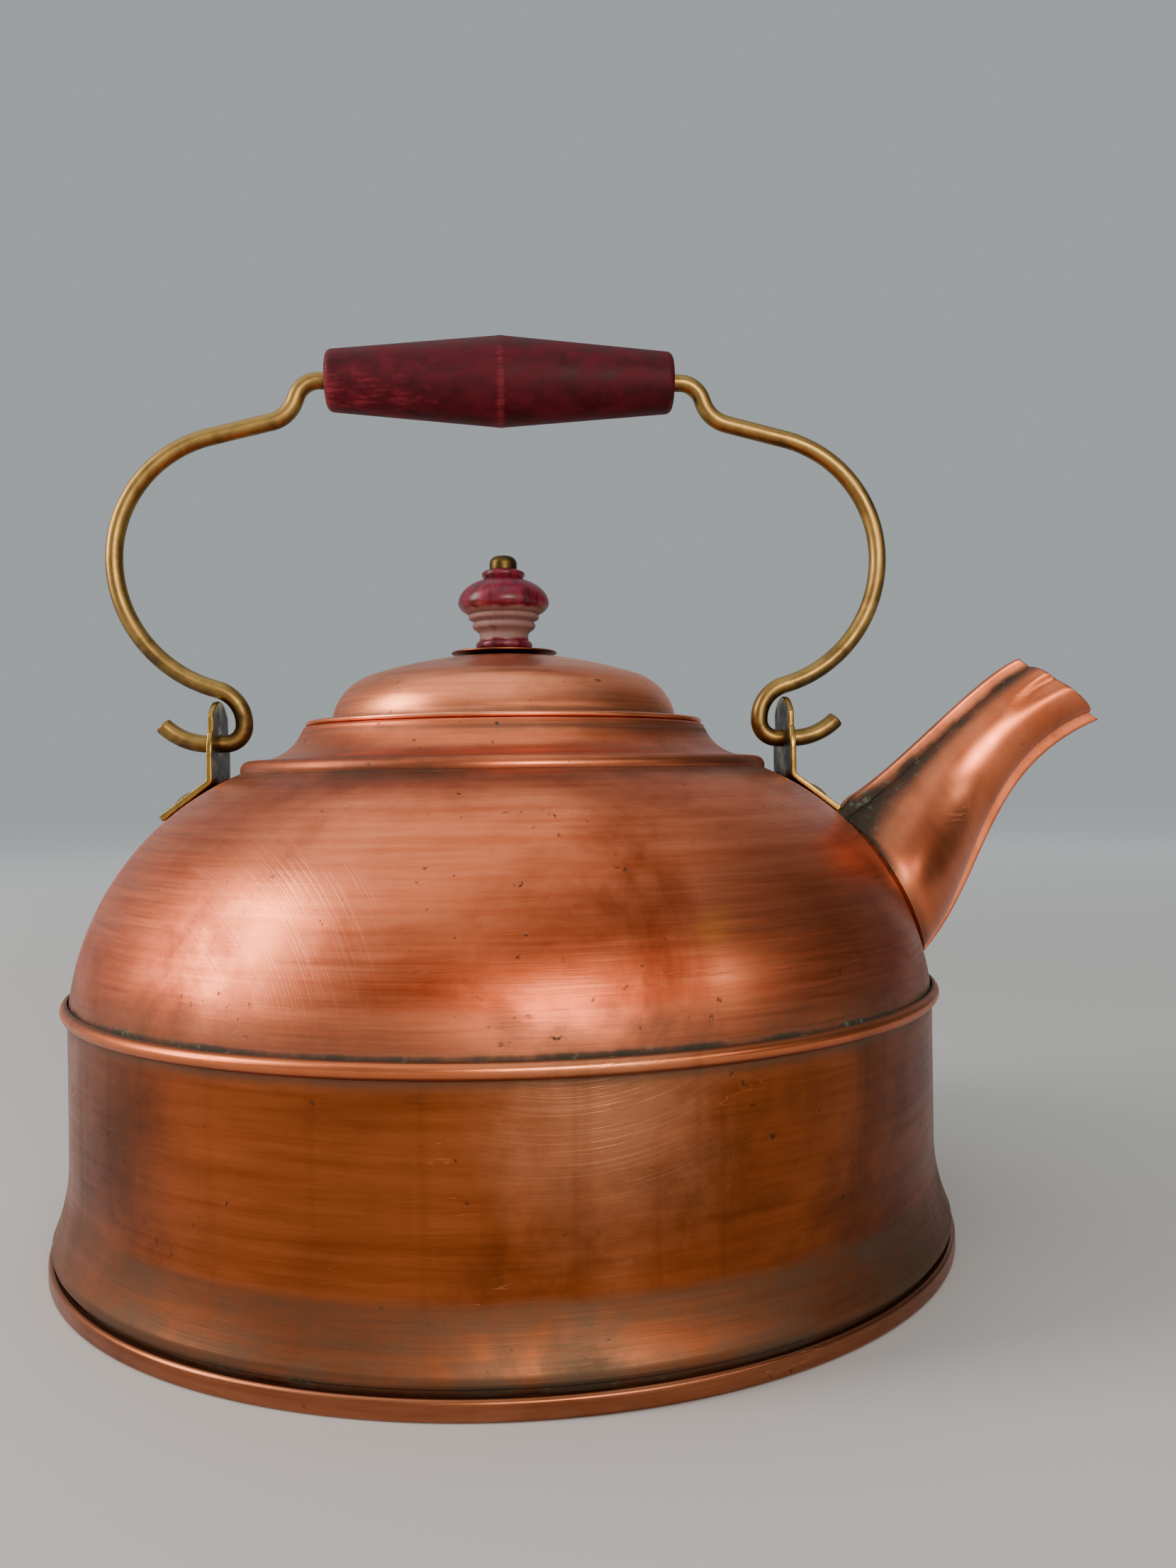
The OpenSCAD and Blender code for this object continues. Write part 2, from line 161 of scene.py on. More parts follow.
def near(points: np.ndarray, spot: Sequence[float], width: float) -> np.ndarray:
    """How near each point is to a spot: 1 there, falling off as a bell of the given width."""
    return bell(np.linalg.norm(points - np.asarray(spot, dtype=float), axis=-1), width)


def soiled(points: np.ndarray, *spots: Tuple[Sequence[float], float, float, float]) -> np.ndarray:
    """Dirt in creases: at each, a narrow bell of its full depth on a broad one of a share of it.

    Args:
        points: (n, 2) points of a profile.
        *spots: The place, narrow width, broad width and depth of each crease.

    Returns:
        The deepest dirt at each point.
    """
    return np.maximum.reduce([
        depth * np.maximum(near(points, spot, width), BROAD_DIRT * near(points, spot, fade))
        for spot, width, fade, depth in spots])


def ease(t: np.ndarray) -> np.ndarray:
    """Smooth step from 0 to 1: three t squared less two t cubed."""
    c = np.clip(t, 0, 1)
    return c * c * (3 - 2 * c)


@dataclass
class Sheet:
    """A surface of two parameters: a grid of points with values that its finish reads.

    Attributes:
        points: (rows, columns, 3) positions in millimetres.
        wrap_rows: Whether the last row joins the first.
        poles: Whether the first and last rows each shrink to one point.
        values: Named values, one for each point.
    """

    points: np.ndarray
    wrap_rows: bool = True
    poles: bool = False
    values: Values = field(default_factory=dict)

    def faces(self) -> List[np.ndarray]:
        """Blocks of quads between neighbouring rows and columns, and of triangles at the poles.

        Returns:
            One array of point numbers for each block.
        """
        rows, cols = self.points.shape[:2]
        i, j = np.meshgrid(np.arange(rows if self.wrap_rows else rows - 1), np.arange(cols),
                           indexing="ij")
        i2, j2 = (i + 1) % rows, (j + 1) % cols
        quads = np.stack([i * cols + j, i * cols + j2, i2 * cols + j2, i2 * cols + j], -1)
        if not self.poles:
            return [quads.reshape(-1, 4)]
        first, last = quads[0].copy(), quads[-1].copy()
        first[:, 0] = 0
        last[:, 3] = (rows - 1) * cols
        return [quads[1:-1].reshape(-1, 4), first[:, [0, 2, 3]], last[:, [0, 1, 3]]]

    def turned(self, matrix: np.ndarray, shift: Sequence[float]) -> "Sheet":
        """The same surface, turned by a 3 by 3 matrix and then shifted."""
        moved = self.points @ np.asarray(matrix).T + np.asarray(shift)
        return Sheet(moved, self.wrap_rows, self.poles, dict(self.values))


def revolve(profile: np.ndarray, values: Optional[Values] = None, around: int = AROUND) -> Sheet:
    """Turns a profile about Z: a point (r, z) becomes (r cos a, r sin a, z) over a full turn.

    Args:
        profile: (n, 2) radii and heights. It is a closed loop, unless both ends lie on the axis.
        values: Named values, one for each point of the profile.
        around: Steps round the turn.

    Returns:
        The surface. Its value "along" is the length run along the profile.
    """
    a = np.linspace(0, 2 * np.pi, around, endpoint=False)
    r, z = profile[:, :1], profile[:, 1:]
    points = np.stack([r * np.cos(a), r * np.sin(a), z + 0 * a], -1)
    on_axis = max(profile[0, 0], profile[-1, 0]) < TINY
    named = {"along": run_length(profile), **(values or {})}
    spread = {name: np.repeat(v[:, None], around, axis=1) for name, v in named.items()}
    return Sheet(points, wrap_rows=not on_axis, poles=on_axis, values=spread)


def make_piece(name: str, sheets: Sequence[Sheet], smooth: float = 38.0) -> bpy.types.Object:
    """Makes one object from surfaces, with faces pointing outward and its values as attributes.

    Args:
        name: The piece's name.
        sheets: Closed surfaces, in millimetres.
        smooth: Edges that turn by more than this many degrees stay sharp.

    Returns:
        The object, at the origin and unscaled.
    """
    points, faces, values, start = [], [], {}, 0
    for sheet in sheets:
        rows, cols = sheet.points.shape[:2]
        points.append(sheet.points.reshape(-1, 3) * MM)
        for block in sheet.faces():
            faces += (block + start).tolist()
        for key, value in sheet.values.items():
            values.setdefault(key, []).append(value.reshape(-1))
        start += rows * cols
    mesh = bpy.data.meshes.new(name)
    mesh.from_pydata(np.vstack(points).tolist(), [], faces)
    for key, parts in values.items():
        layer = mesh.attributes.new(key, "FLOAT", "POINT")
        scale = MM if key == "along" else 1.0
        layer.data.foreach_set("value", (np.concatenate(parts) * scale).astype(np.float32))
    shape = bmesh.new()
    shape.from_mesh(mesh)
    bmesh.ops.remove_doubles(shape, verts=shape.verts, dist=TINY)
    bmesh.ops.delete(shape, geom=[v for v in shape.verts if not v.link_faces], context="VERTS")
    bmesh.ops.dissolve_degenerate(shape, edges=shape.edges, dist=TINY / 10)
    bmesh.ops.recalc_face_normals(shape, faces=shape.faces)
    if shape.calc_volume(signed=True) < 0:     # a thin open section can come out inside out
        bmesh.ops.reverse_faces(shape, faces=shape.faces)
    shape.to_mesh(mesh)
    shape.free()
    mesh.polygons.foreach_set("use_smooth", np.ones(len(mesh.polygons), dtype=bool))
    mesh.set_sharp_from_angle(angle=math.radians(smooth))
    piece = bpy.data.objects.new(name, mesh)
    bpy.context.scene.collection.objects.link(piece)
    return piece


def settle(piece: bpy.types.Object, node: str, body: Body, finish: "Finish") -> None:
    """Puts a piece in a CAD node's place: on its body, with its finish.

    Args:
        piece: The new piece.
        node: The CAD node that it stands for.
        body: The body that carries it.
        finish: Its finish.
    """
    piece.data.materials.append(finish.material())
    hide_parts(node)
    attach(piece, body.value)
    LOG.info("%-18s rides %-5s %7d faces  %s", piece.name, body.value,
             len(piece.data.polygons), finish.name)


# ---------------------------------------------------------------- finishes
SOFT = {"interpolation_type": "SMOOTHSTEP"}
COLOUR = {"data_type": "RGBA", "out": 2}
PLUS, TIMES = {"operation": "ADD"}, {"operation": "MULTIPLY"}
TIMES_PLUS = {"operation": "MULTIPLY_ADD"}     # the first times the second, plus the third


def linear(code: str) -> Tuple[float, float, float, float]:
    """Turns an sRGB hex colour into linear red, green, blue and alpha.

    Args:
        code: Six hex digits.

    Returns:
        The colour as a node's socket takes it.
    """
    c = np.array([int(code[i:i + 2], 16) for i in (0, 2, 4)]) / 255
    c = np.where(c <= 0.04045, c / 12.92, ((c + 0.055) / 1.055) ** 2.4)
    return (float(c[0]), float(c[1]), float(c[2]), 1.0)


def per(*sizes: float) -> Tuple[float, ...]:
    """Scale along each axis that makes one unit of a pattern as long as the given millimetres."""
    return tuple(1 / (size * MM) for size in sizes)


def add(tree: bpy.types.NodeTree, kind: str, inputs: Inputs = (), out: Union[int, str] = 0,
        **settings: object) -> Optional[bpy.types.NodeSocket]:
    """Adds a node to a tree with its settings and links.

    Args:
        tree: The tree.
        kind: The node's type, without its ShaderNode prefix.
        inputs: Sockets to link or values to set, in order or by the input's name or number.
        out: The output to return, by name or number.
        **settings: The node's own properties.

    Returns:
        The output asked for, or nothing when the node has none.
    """
    node = tree.nodes.new("ShaderNode" + kind)
    for key, value in settings.items():
        setattr(node, key, value)
    for key, value in (inputs.items() if isinstance(inputs, dict) else enumerate(inputs)):
        if isinstance(value, bpy.types.NodeSocket):
            tree.links.new(value, node.inputs[key])
        else:
            node.inputs[key].default_value = value
    return node.outputs[out] if node.outputs else None


@dataclass(frozen=True)
class Finish:
    """A finish. Subclasses fill a node tree; each finish makes its material once."""

    name: str

    def material(self) -> bpy.types.Material:
        """The material of this finish, made the first time it is asked for.

        Returns:
            The material.
        """
        made = bpy.data.materials.get(self.name)
        if made:
            return made
        made = bpy.data.materials.new(self.name)
        made.use_nodes = True
        made.node_tree.nodes.clear()
        n = partial(add, made.node_tree)
        n("OutputMaterial", {"Surface": self.fill(n)})
        return made

    def fill(self, n: Adder) -> bpy.types.NodeSocket:
        """Adds the finish's nodes with n and returns the shader's output.

        Args:
            n: Adds a node to the tree.

        Returns:
            The shader's output.
        """
        raise NotImplementedError


@dataclass(frozen=True)
class AgedCopper(Finish):
    """Spun copper sheet, polished once and dulled by use.

    Fine turning lines run round it, hand rubbing leaves hairline scratches, and heat and water
    leave brown clouds, small spots, grey-brown soil beside the creases and a green-black crust
    in them. The eye sees a soft wide sheen, pink where it is rubbed and orange-brown elsewhere.
    """

    clean: str = "e39a7c"
    warm: str = "c0673c"
    brown: str = "7a3a20"
    soil: str = "58493a"
    crust: str = "2b2a20"
    verdigris: str = "5d7562"
    scratch: str = "f3c3aa"
    bead_highlight: str = "dd7a4c"                # painted highlight: the tip of the wall's bead is painted brighter copper
    tarnish: str = "5f4d3d"                    # colour of the dull band
    roughness: float = 0.3
    line_mm: float = 0.9                       # spacing of the turning lines, coarse enough to show
    line_depth: float = 0.35
    cloud_mm: float = 55.0
    browning: float = 0.45                     # how much of the surface is browned
    spots: float = 1.0
    drips: float = 0.0                         # runs of dried water down the surface
    swirl: Tuple[float, float] = (0.0, 0.0)    # middle of the rubbed patch, X and Z in millimetres
    sweep: Tuple[float, float] = (0.0, 0.0)    # the point that its arcs turn about
    swirl_depth: float = 0.0
    swirl_share: float = 0.12                  # how much the whole patch is paler
    band: Tuple[float, float] = (0.0, 0.0)     # heights between which it is dull and grey-brown
    band_share: float = 0.95
    hair_share: float = 0.3                    # how much paler a hairline is
    arc_share: float = 0.28                    # and an arc of the rubbed patch
    soil_share: float = 0.62                   # how far soil and crust cover the copper
    crust_share: float = 0.94
    sheen_turn: float = 0.35                   # how far the sheen stretches across the lines
    heat_mark: Tuple[float, float] = (0.0, 0.0)    # middle of an orange heat mark, X and Z in mm
    heat_mm: float = 0.0                           # its radius
    heat: str = "f59a45"

    def patterns(self, n: Adder) -> Sockets:
        """The noises, distances and values that colour, gloss and relief are made from.

        Args:
            n: Adds a node to the tree.

        Returns:
            The patterns by name.
        """
        place = n("TexCoord", out="Object")
        x, y, z = n("SeparateXYZ", (place,)).node.outputs
        skin = n("CombineXYZ", (x, y, n("Attribute", attribute_name="along", out="Fac")))
        flat = n("CombineXYZ", (x, 0.0, z))
        made = {"x": x, "z": z}
        for key in ("crease", "edge"):
            made[key] = n("Attribute", attribute_name=key, out="Fac")
        for key, (a, b) in (("to_swirl", self.swirl), ("to_sweep", self.sweep),
                            ("to_heat", self.heat_mark)):
            made[key] = n("VectorMath", (flat, (a * MM, 0.0, b * MM)), out="Value",
                          operation="DISTANCE")
        for key, vector, sizes, detail, rough, warp in (
                ("lines", skin, (38, 38, self.line_mm), 4.0, 0.7, 0.0),
                ("broad", skin, (48, 48, self.line_mm * 2.6), 4.0, 0.7, 0.0),
                ("cloud", place, (self.cloud_mm,) * 3, 5.0, 0.6, 0.6),
                ("patch", place, (16, 16, 16), 5.0, 0.65, 0.3),
                ("grit", place, (2.2, 2.2, 2.2), 2.0, 0.5, 0.0),
                ("loose", place, (14, 14, 1.6), 1.0, 0.4, 0.8),
                ("runs", place, (9, 9, 300), 3.0, 0.6, 0.25),
                ("dents", place, (34, 34, 26), 1.0, 0.4, 0.0)):
            scaled = n("VectorMath", (vector, per(*sizes)), **TIMES)
            made[key] = n("TexNoise", {"Vector": scaled, "Scale": 1.0, "Detail": detail,
                                       "Roughness": rough, "Distortion": warp})
        return made

    def scratches(self, n: Adder, p: Sockets) -> Tuple[bpy.types.NodeSocket, ...]:
        """Loose hairlines all over, and the rubbed patch with arcs about the sweep point.

        A loose hairline is where a stretched noise crosses its middle value. An arc is a thin
        peak of a noise that changes fast with the distance from the sweep point and slowly
        along the arc.

        Args:
            n: Adds a node to the tree.
            p: The patterns by name.

        Returns:
            The shares of hairlines, of the rubbed patch and of its arcs.
        """
        level = n("Math", (p["loose"], 0.5), operation="SUBTRACT")
        level = n("Math", (level,), operation="ABSOLUTE")
        hair = n("Math", (n("MapRange", (level, 0.0, 0.006, 1.0, 0.0), **SOFT),
                          n("MapRange", (p["patch"], 0.52, 0.7, 0.0, 1.0), **SOFT)), **TIMES)
        off = n("Math", (p["to_swirl"], n("Math", (p["patch"], 0.03), **TIMES)), **PLUS)
        rubbed = n("MapRange", (off, 0.012, 0.048, 1.0 if self.swirl_depth else 0.0, 0.0), **SOFT)
        rings = n("CombineXYZ", tuple(
            n("Math", (p[way], *per(size)), **TIMES)
            for way, size in (("to_sweep", 0.42), ("x", 38), ("z", 38))))
        arcs = n("TexNoise", {"Vector": rings, "Scale": 1.0, "Detail": 2.0, "Roughness": 0.6})
        arcs = n("Math", (n("MapRange", (arcs, 0.5, 0.68, 0.0, 1.0), **SOFT), rubbed), **TIMES)
        return hair, rubbed, arcs

    def shares(self, n: Adder, p: Sockets) -> Sockets:
        """How much each place is browned, spotted, dulled, heated, soiled and crusted.

        Args:
            n: Adds a node to the tree.
            p: The patterns by name.

        Returns:
            The shares by name, each from 0 to 1.
        """
        low, high = (height * MM for height in self.band)
        wavy = n("Math", (p["z"], n("MapRange", (p["patch"], 0.0, 1.0, -0.003, 0.003))), **PLUS)
        heated = n("Math", (p["to_heat"], n("Math", (p["patch"], 0.006), **TIMES)), **PLUS)
        broken = n("MapRange", (p["patch"], 0.2, 0.8, 0.7, 1.35), **SOFT)
        ragged = n("Math", (p["crease"], broken), **TIMES)
        made = {key: n("MapRange", limits, **SOFT) for key, *limits in (
            ("warm", p["broad"], 0.25, 0.8, 0.0, 1.0),
            ("browned", p["cloud"], 0.72 - self.browning, 0.95 - self.browning * 0.6, 0.0, 1.0),
            ("mottled", p["patch"], 0.25, 0.75, 0.55, 1.0),
            ("spot", p["grit"], 0.67, 0.77, 0.0, self.spots),
            ("spotted", p["patch"], 0.42, 0.62, 0.0, 1.0),
            ("drip", p["runs"], 0.5, 0.76, 0.0, self.drips),
            ("belt", wavy, low, low + 0.003, 0.0, self.band_share if high else 0.0),
            ("below", wavy, high - 0.003, high + 0.0005, 1.0, 0.0),
            ("heat", heated, 0.0015, 0.003 + self.heat_mm * MM, 0.5 if self.heat_mm else 0.0, 0.0),
            ("soil", ragged, 0.05, 0.5, 0.0, self.soil_share),
            ("crust", ragged, 0.4, 1.05, 0.0, self.crust_share),
            ("green", p["grit"], 0.6, 0.72, 0.0, 0.7))}
        for key, other in (("browned", "mottled"), ("spot", "spotted"), ("belt", "below"),
                           ("green", "crust")):
            made[key] = n("Math", (made[key], made[other]), **TIMES)
        for noise, least in (("cloud", 0.75), ("patch", 0.45), ("broad", 0.7)):
            worn = n("MapRange", (p[noise], 0.3, 0.65, least, 1.0), **SOFT)
            made["belt"] = n("Math", (made["belt"], worn), **TIMES)
        return made

    def fill(self, n: Adder) -> bpy.types.NodeSocket:
        """Colour from clouds, spots, drips and crust; gloss and relief from lines and scratches.

        Args:
            n: Adds a node to the tree.

        Returns:
            The shader's output.
        """
        p = self.patterns(n)
        share = self.shares(n, p)
        hair, rubbed, arcs = self.scratches(n, p)
        for key, mark, much in (("rub", rubbed, self.swirl_share), ("hair", hair, self.hair_share),
                                ("arc", arcs, self.arc_share)):
            share[key] = n("Math", (mark, much), **TIMES)
        # the value "edge" is the painted highlight on the wall's bead
        share["edge"] = p["edge"]
        colour = n("Mix", {0: share["warm"], 6: linear(self.clean), 7: linear(self.warm)},
                   **COLOUR)
        for key, shade in (("browned", self.brown), ("heat", self.heat), ("spot", self.crust),
                           ("edge", self.bead_highlight), ("rub", self.scratch),
                           ("hair", self.scratch), ("arc", self.scratch), ("drip", self.brown),
                           ("belt", self.tarnish), ("soil", self.soil), ("crust", self.crust),
                           ("green", self.verdigris)):
            colour = n("Mix", {0: share[key], 6: colour, 7: linear(shade)}, **COLOUR)
        gloss = n("MapRange", (p["lines"], 0.25, 0.75, self.roughness - 0.03,
                               self.roughness + 0.06), **SOFT)
        for key, more in (("browned", 0.1), ("drip", 0.1), ("belt", 0.2), ("soil", 0.12),
                          ("crust", 0.3), ("spot", 0.2)):
            gloss = n("Math", (share[key], more, gloss), **TIMES_PLUS)
        relief = n("Math", (share["crust"], p["grit"]), **TIMES)
        for mark, depth in ((hair, -0.3), (share["spot"], -0.4), (arcs, -self.swirl_depth)):
            relief = n("Math", (mark, depth, relief), **TIMES_PLUS)
        normal = n("Bump", {"Height": p["dents"], "Distance": 0.0007, "Strength": 0.3})
        for height, metres, strength in ((p["lines"], 0.00005, self.line_depth),
                                         (relief, 0.0001, 0.5)):
            normal = n("Bump", {"Height": height, "Distance": metres, "Strength": strength,
                                "Normal": normal})
        return n("BsdfPrincipled", {
            "Base Color": colour, "Roughness": gloss, "Normal": normal,
            "Metallic": n("MapRange", (share["crust"], 0.0, 1.0, 1.0, 0.4)),
            "Tangent": n("Tangent", direction_type="RADIAL", axis="Z"),
            "Anisotropic": self.sheen_turn})


@dataclass(frozen=True)
class AgedBrass(Finish):
    """Brass, drawn or stamped, gone olive-gold with age and nearly black where its value from the
    mesh is low.

    That value is high where the brass is handled, so those stretches stay gold. It also holds
    painted light and shade: high on the wire's upper side and at the ears' edges, low on the wire's
    underside and on the ears' faces, which are painted dark as shade.
    """

    gold: str = "c9a25a"
    olive: str = "7d6a35"
    dark: str = "2d281b"
    roughness: float = 0.3
    grain_mm: float = 1.2
    darkening: float = 0.5

    def fill(self, n: Adder) -> bpy.types.NodeSocket:
        """Gold, olive and dark mixed by noise and by how much the place is rubbed.

        Args:
            n: Adds a node to the tree.

        Returns:
            The shader's output.
        """
        place = n("TexCoord", out="Object")
        # this value also carries painted light and shade: the wire's underside and the ears' faces
        # are painted dark
        rubbed = n("Attribute", attribute_name="rubbed", out="Fac")
        grain, patch = (
            n("TexNoise", {"Vector": place, "Scale": 1 / (size * MM), "Detail": 4.0,
                           "Roughness": 0.6, "Distortion": warp})
            for size, warp in ((self.grain_mm, 0.0), (9, 0.5)))
        kept = n("Math", (rubbed, n("MapRange", (patch, 0.0, 1.0, -0.7, 0.7))), **PLUS)
        black = n("MapRange", (kept, self.darkening - 0.35, self.darkening, 1.0, 0.0), **SOFT)
        gilt = n("MapRange", (kept, 0.25, 0.8, 0.0, 1.0), **SOFT)
        colour = n("Mix", {0: gilt, 6: linear(self.olive), 7: linear(self.gold)}, **COLOUR)
        for share in (black, n("MapRange", (grain, 0.6, 0.8, 0.0, 0.3), **SOFT)):
            colour = n("Mix", {0: share, 6: colour, 7: linear(self.dark)}, **COLOUR)
        gloss = n("MapRange", (grain, 0.3, 0.7, self.roughness - 0.06, self.roughness + 0.06),
                  **SOFT)
        gloss = n("Math", (black, 0.15, gloss), **TIMES_PLUS)
        metal = n("MapRange", (black, 0.0, 1.0, 1.0, 0.7))
        normal = n("Bump", {"Height": grain, "Distance": 0.00006, "Strength": 0.15})
        return n("BsdfPrincipled", {"Base Color": colour, "Metallic": metal, "Roughness": gloss,
                                    "Normal": normal})


@dataclass(frozen=True)
class TurnedWood(Finish):
    """Close-grained wood turned on a lathe, under a colour that wears through.

    The value "worn" is high where hands have worn the colour through.
    """

    WOOD_IOR: ClassVar[float] = 1.5

    def noises(self, n: Adder, detail: float, rough: float,
               *sizes: Tuple[float, float, float]) -> List[bpy.types.NodeSocket]:
        """One stretched noise for each set of sizes in millimetres along X, Y and Z.

        Args:
            n: Adds a node to the tree.
            detail: The noises' detail.
            rough: Their roughness.
            *sizes: The sizes of each noise.

        Returns:
            The noises in the same order.
        """
        place = n("TexCoord", out="Object")
        return [n("TexNoise", {"Vector": n("VectorMath", (place, per(*size)), **TIMES),
                               "Scale": 1.0, "Detail": detail, "Roughness": rough})
                for size in sizes]

    def broken(self, n: Adder, *noises: Tuple[bpy.types.NodeSocket, float]
               ) -> bpy.types.NodeSocket:
        """The value "worn", broken up by each noise by plus or minus the amount beside it.

        Args:
            n: Adds a node to the tree.
            *noises: Each noise and the amount that it adds or takes away.

        Returns:
            The broken value.
        """
        worn = n("Attribute", attribute_name="worn", out="Fac")
        for noise, much in noises:
            worn = n("Math", (worn, n("MapRange", (noise, 0.0, 1.0, -much, much))), **PLUS)
        return worn


@dataclass(frozen=True)
class StainedWood(TurnedWood):
    """Close-grained turned wood under a thin burgundy stain, rubbed matt by the hand.

    Long grain runs along X; the stain is mottled, and paler where it has worn.
    """

    deep: str = "34080f"
    stain: str = "500d1a"
    worn: str = "8c333e"
    roughness: float = 0.55
    shine: float = 0.15                        # how strongly the bare stain reflects

    def fill(self, n: Adder) -> bpy.types.NodeSocket:
        """Mottle and long grain in the colour; wear broken up by the mottle and a fine grain.

        Args:
            n: Adds a node to the tree.

        Returns:
            The shader's output.
        """
        mottle, = self.noises(n, 5.0, 0.62, (7, 5, 5))
        grain, fine = self.noises(n, 3.0, 0.62, (26, 1.1, 1.1), (5, 0.8, 0.8))
        blend = n("MapRange", (mottle, 0.3, 0.68, 0.0, 1.0), **SOFT)
        colour = n("Mix", {0: blend, 6: linear(self.deep), 7: linear(self.stain)}, **COLOUR)
        broken = self.broken(n, (fine, 0.4), (mottle, 0.45))
        for share, shade in (
                (n("MapRange", (grain, 0.5, 0.75, 0.0, 0.35), **SOFT), self.deep),
                (n("MapRange", (broken, 0.25, 0.95, 0.0, 1.0), **SOFT), self.worn)):
            colour = n("Mix", {0: share, 6: colour, 7: linear(shade)}, **COLOUR)
        gloss = n("MapRange", (mottle, 0.3, 0.7, self.roughness - 0.08, self.roughness + 0.1),
                  **SOFT)
        height = n("Math", (mottle, 0.5, grain), **TIMES_PLUS)
        normal = n("Bump", {"Height": height, "Distance": 0.0001, "Strength": 0.4})
        return n("BsdfPrincipled", {"Base Color": colour, "Roughness": gloss, "Normal": normal,
                                    "IOR": self.WOOD_IOR, "Specular IOR Level": self.shine})


@dataclass(frozen=True)
class LacqueredWood(TurnedWood):
    """Turned wood under dark red lacquer: a clear gloss, worn to grey-pink on the rings."""

    lacquer: str = "74122a"
    deep: str = "380812"
    bare: str = "80655f"
    roughness: float = 0.34
    shine: float = 0.4                         # how strongly the lacquer reflects

    def fill(self, n: Adder) -> bpy.types.NodeSocket:
        """Upright streaks in the lacquer; the value "worn" broken by noise shows bare wood.

        Args:
            n: Adds a node to the tree.

        Returns:
            The shader's output.
        """
        streak, patch = self.noises(n, 2.0, 0.5, (1.6, 1.6, 26), (3, 3, 6))
        blend = n("MapRange", (streak, 0.2, 0.75, 0.0, 1.0), **SOFT)
        colour = n("Mix", {0: blend, 6: linear(self.deep), 7: linear(self.lacquer)}, **COLOUR)
        broken = self.broken(n, (patch, 0.3), (streak, 0.2))
        bare = n("MapRange", (broken, 0.3, 0.75, 0.0, 0.9), **SOFT)
        colour = n("Mix", {0: bare, 6: colour, 7: linear(self.bare)}, **COLOUR)
        gloss = n("MapRange", (streak, 0.3, 0.7, self.roughness - 0.04, self.roughness + 0.04),
                  **SOFT)
        gloss = n("Math", (bare, 0.3, gloss), **TIMES_PLUS)
        height = n("Math", (streak, patch), **PLUS)
        normal = n("Bump", {"Height": height, "Distance": 0.00005, "Strength": 0.3})
        return n("BsdfPrincipled", {"Base Color": colour, "Roughness": gloss, "Normal": normal,
                                    "IOR": self.WOOD_IOR, "Specular IOR Level": self.shine})


DOME_COPPER = AgedCopper(
    "rubbed_spun_copper", clean="f0865b", warm="d2673e", brown="7d3118", scratch="f2a080",
    browning=0.36, roughness=0.29, line_depth=0.5, swirl=(-46, 88), sweep=(-82, 60),
    swirl_depth=0.35, heat_mark=(41, 86), heat_mm=6.0)
# painted shade over real browning: the wall's colours are much darker than the dome's, standing in
# for the dark surroundings that the wall reflects
WALL_COPPER = AgedCopper(
    "browned_copper_with_painted_shade", clean="ab5a31", warm="8d441c", brown="572a0e", scratch="dc9a72",
    browning=0.42, roughness=0.27, line_depth=0.5, swirl=(18, 54), sweep=(10, 116),
    swirl_depth=0.35, swirl_share=0.45, drips=0.42, band=(4.5, 21))
RIM_COPPER = AgedCopper(
    "dulled_rim_copper", clean="a4684a", warm="85492a", brown="532b15", browning=0.3,
    roughness=0.3, spots=0.5)
SPOUT_COPPER = AgedCopper(
    "pressed_spout_copper", clean="de8059", warm="bf5f38", brown="7c391b", browning=0.24,
    roughness=0.33, line_mm=9.0, line_depth=0.05, cloud_mm=45, spots=0.4, sheen_turn=0.0)
LID_COPPER = AgedCopper(
    "polished_lid_copper", clean="f79a70", warm="e27c50", brown="8e3e20", browning=0.26,
    roughness=0.3, cloud_mm=32, line_depth=0.4)
# painted shade on real tarnish: the ears' faces are painted dark grey and only their edges gold
EAR_BRASS = AgedBrass(
    "tarnished_brass_with_painted_shade", gold="a88846", olive="62542f", dark="2e2c28", darkening=0.6,
    grain_mm=3.0)
RIVET_BRASS = AgedBrass(
    "hammered_rivet_brass", gold="a8854a", olive="6d5a32", darkening=0.36, roughness=0.34)
NUT_BRASS = AgedBrass(
    "dull_brown_nut_brass", gold="5e4b28", olive="433620", dark="2a2216", roughness=0.42)
WIRE_BRASS = AgedBrass(
    "drawn_wire_brass", gold="a18248", olive="705a33", dark="3b2f1b", darkening=0.4,
    grain_mm=8.0, roughness=0.4)
GRIP_WOOD = StainedWood("burgundy_stained_wood")
KNOB_WOOD = LacqueredWood("dark_red_lacquered_wood")


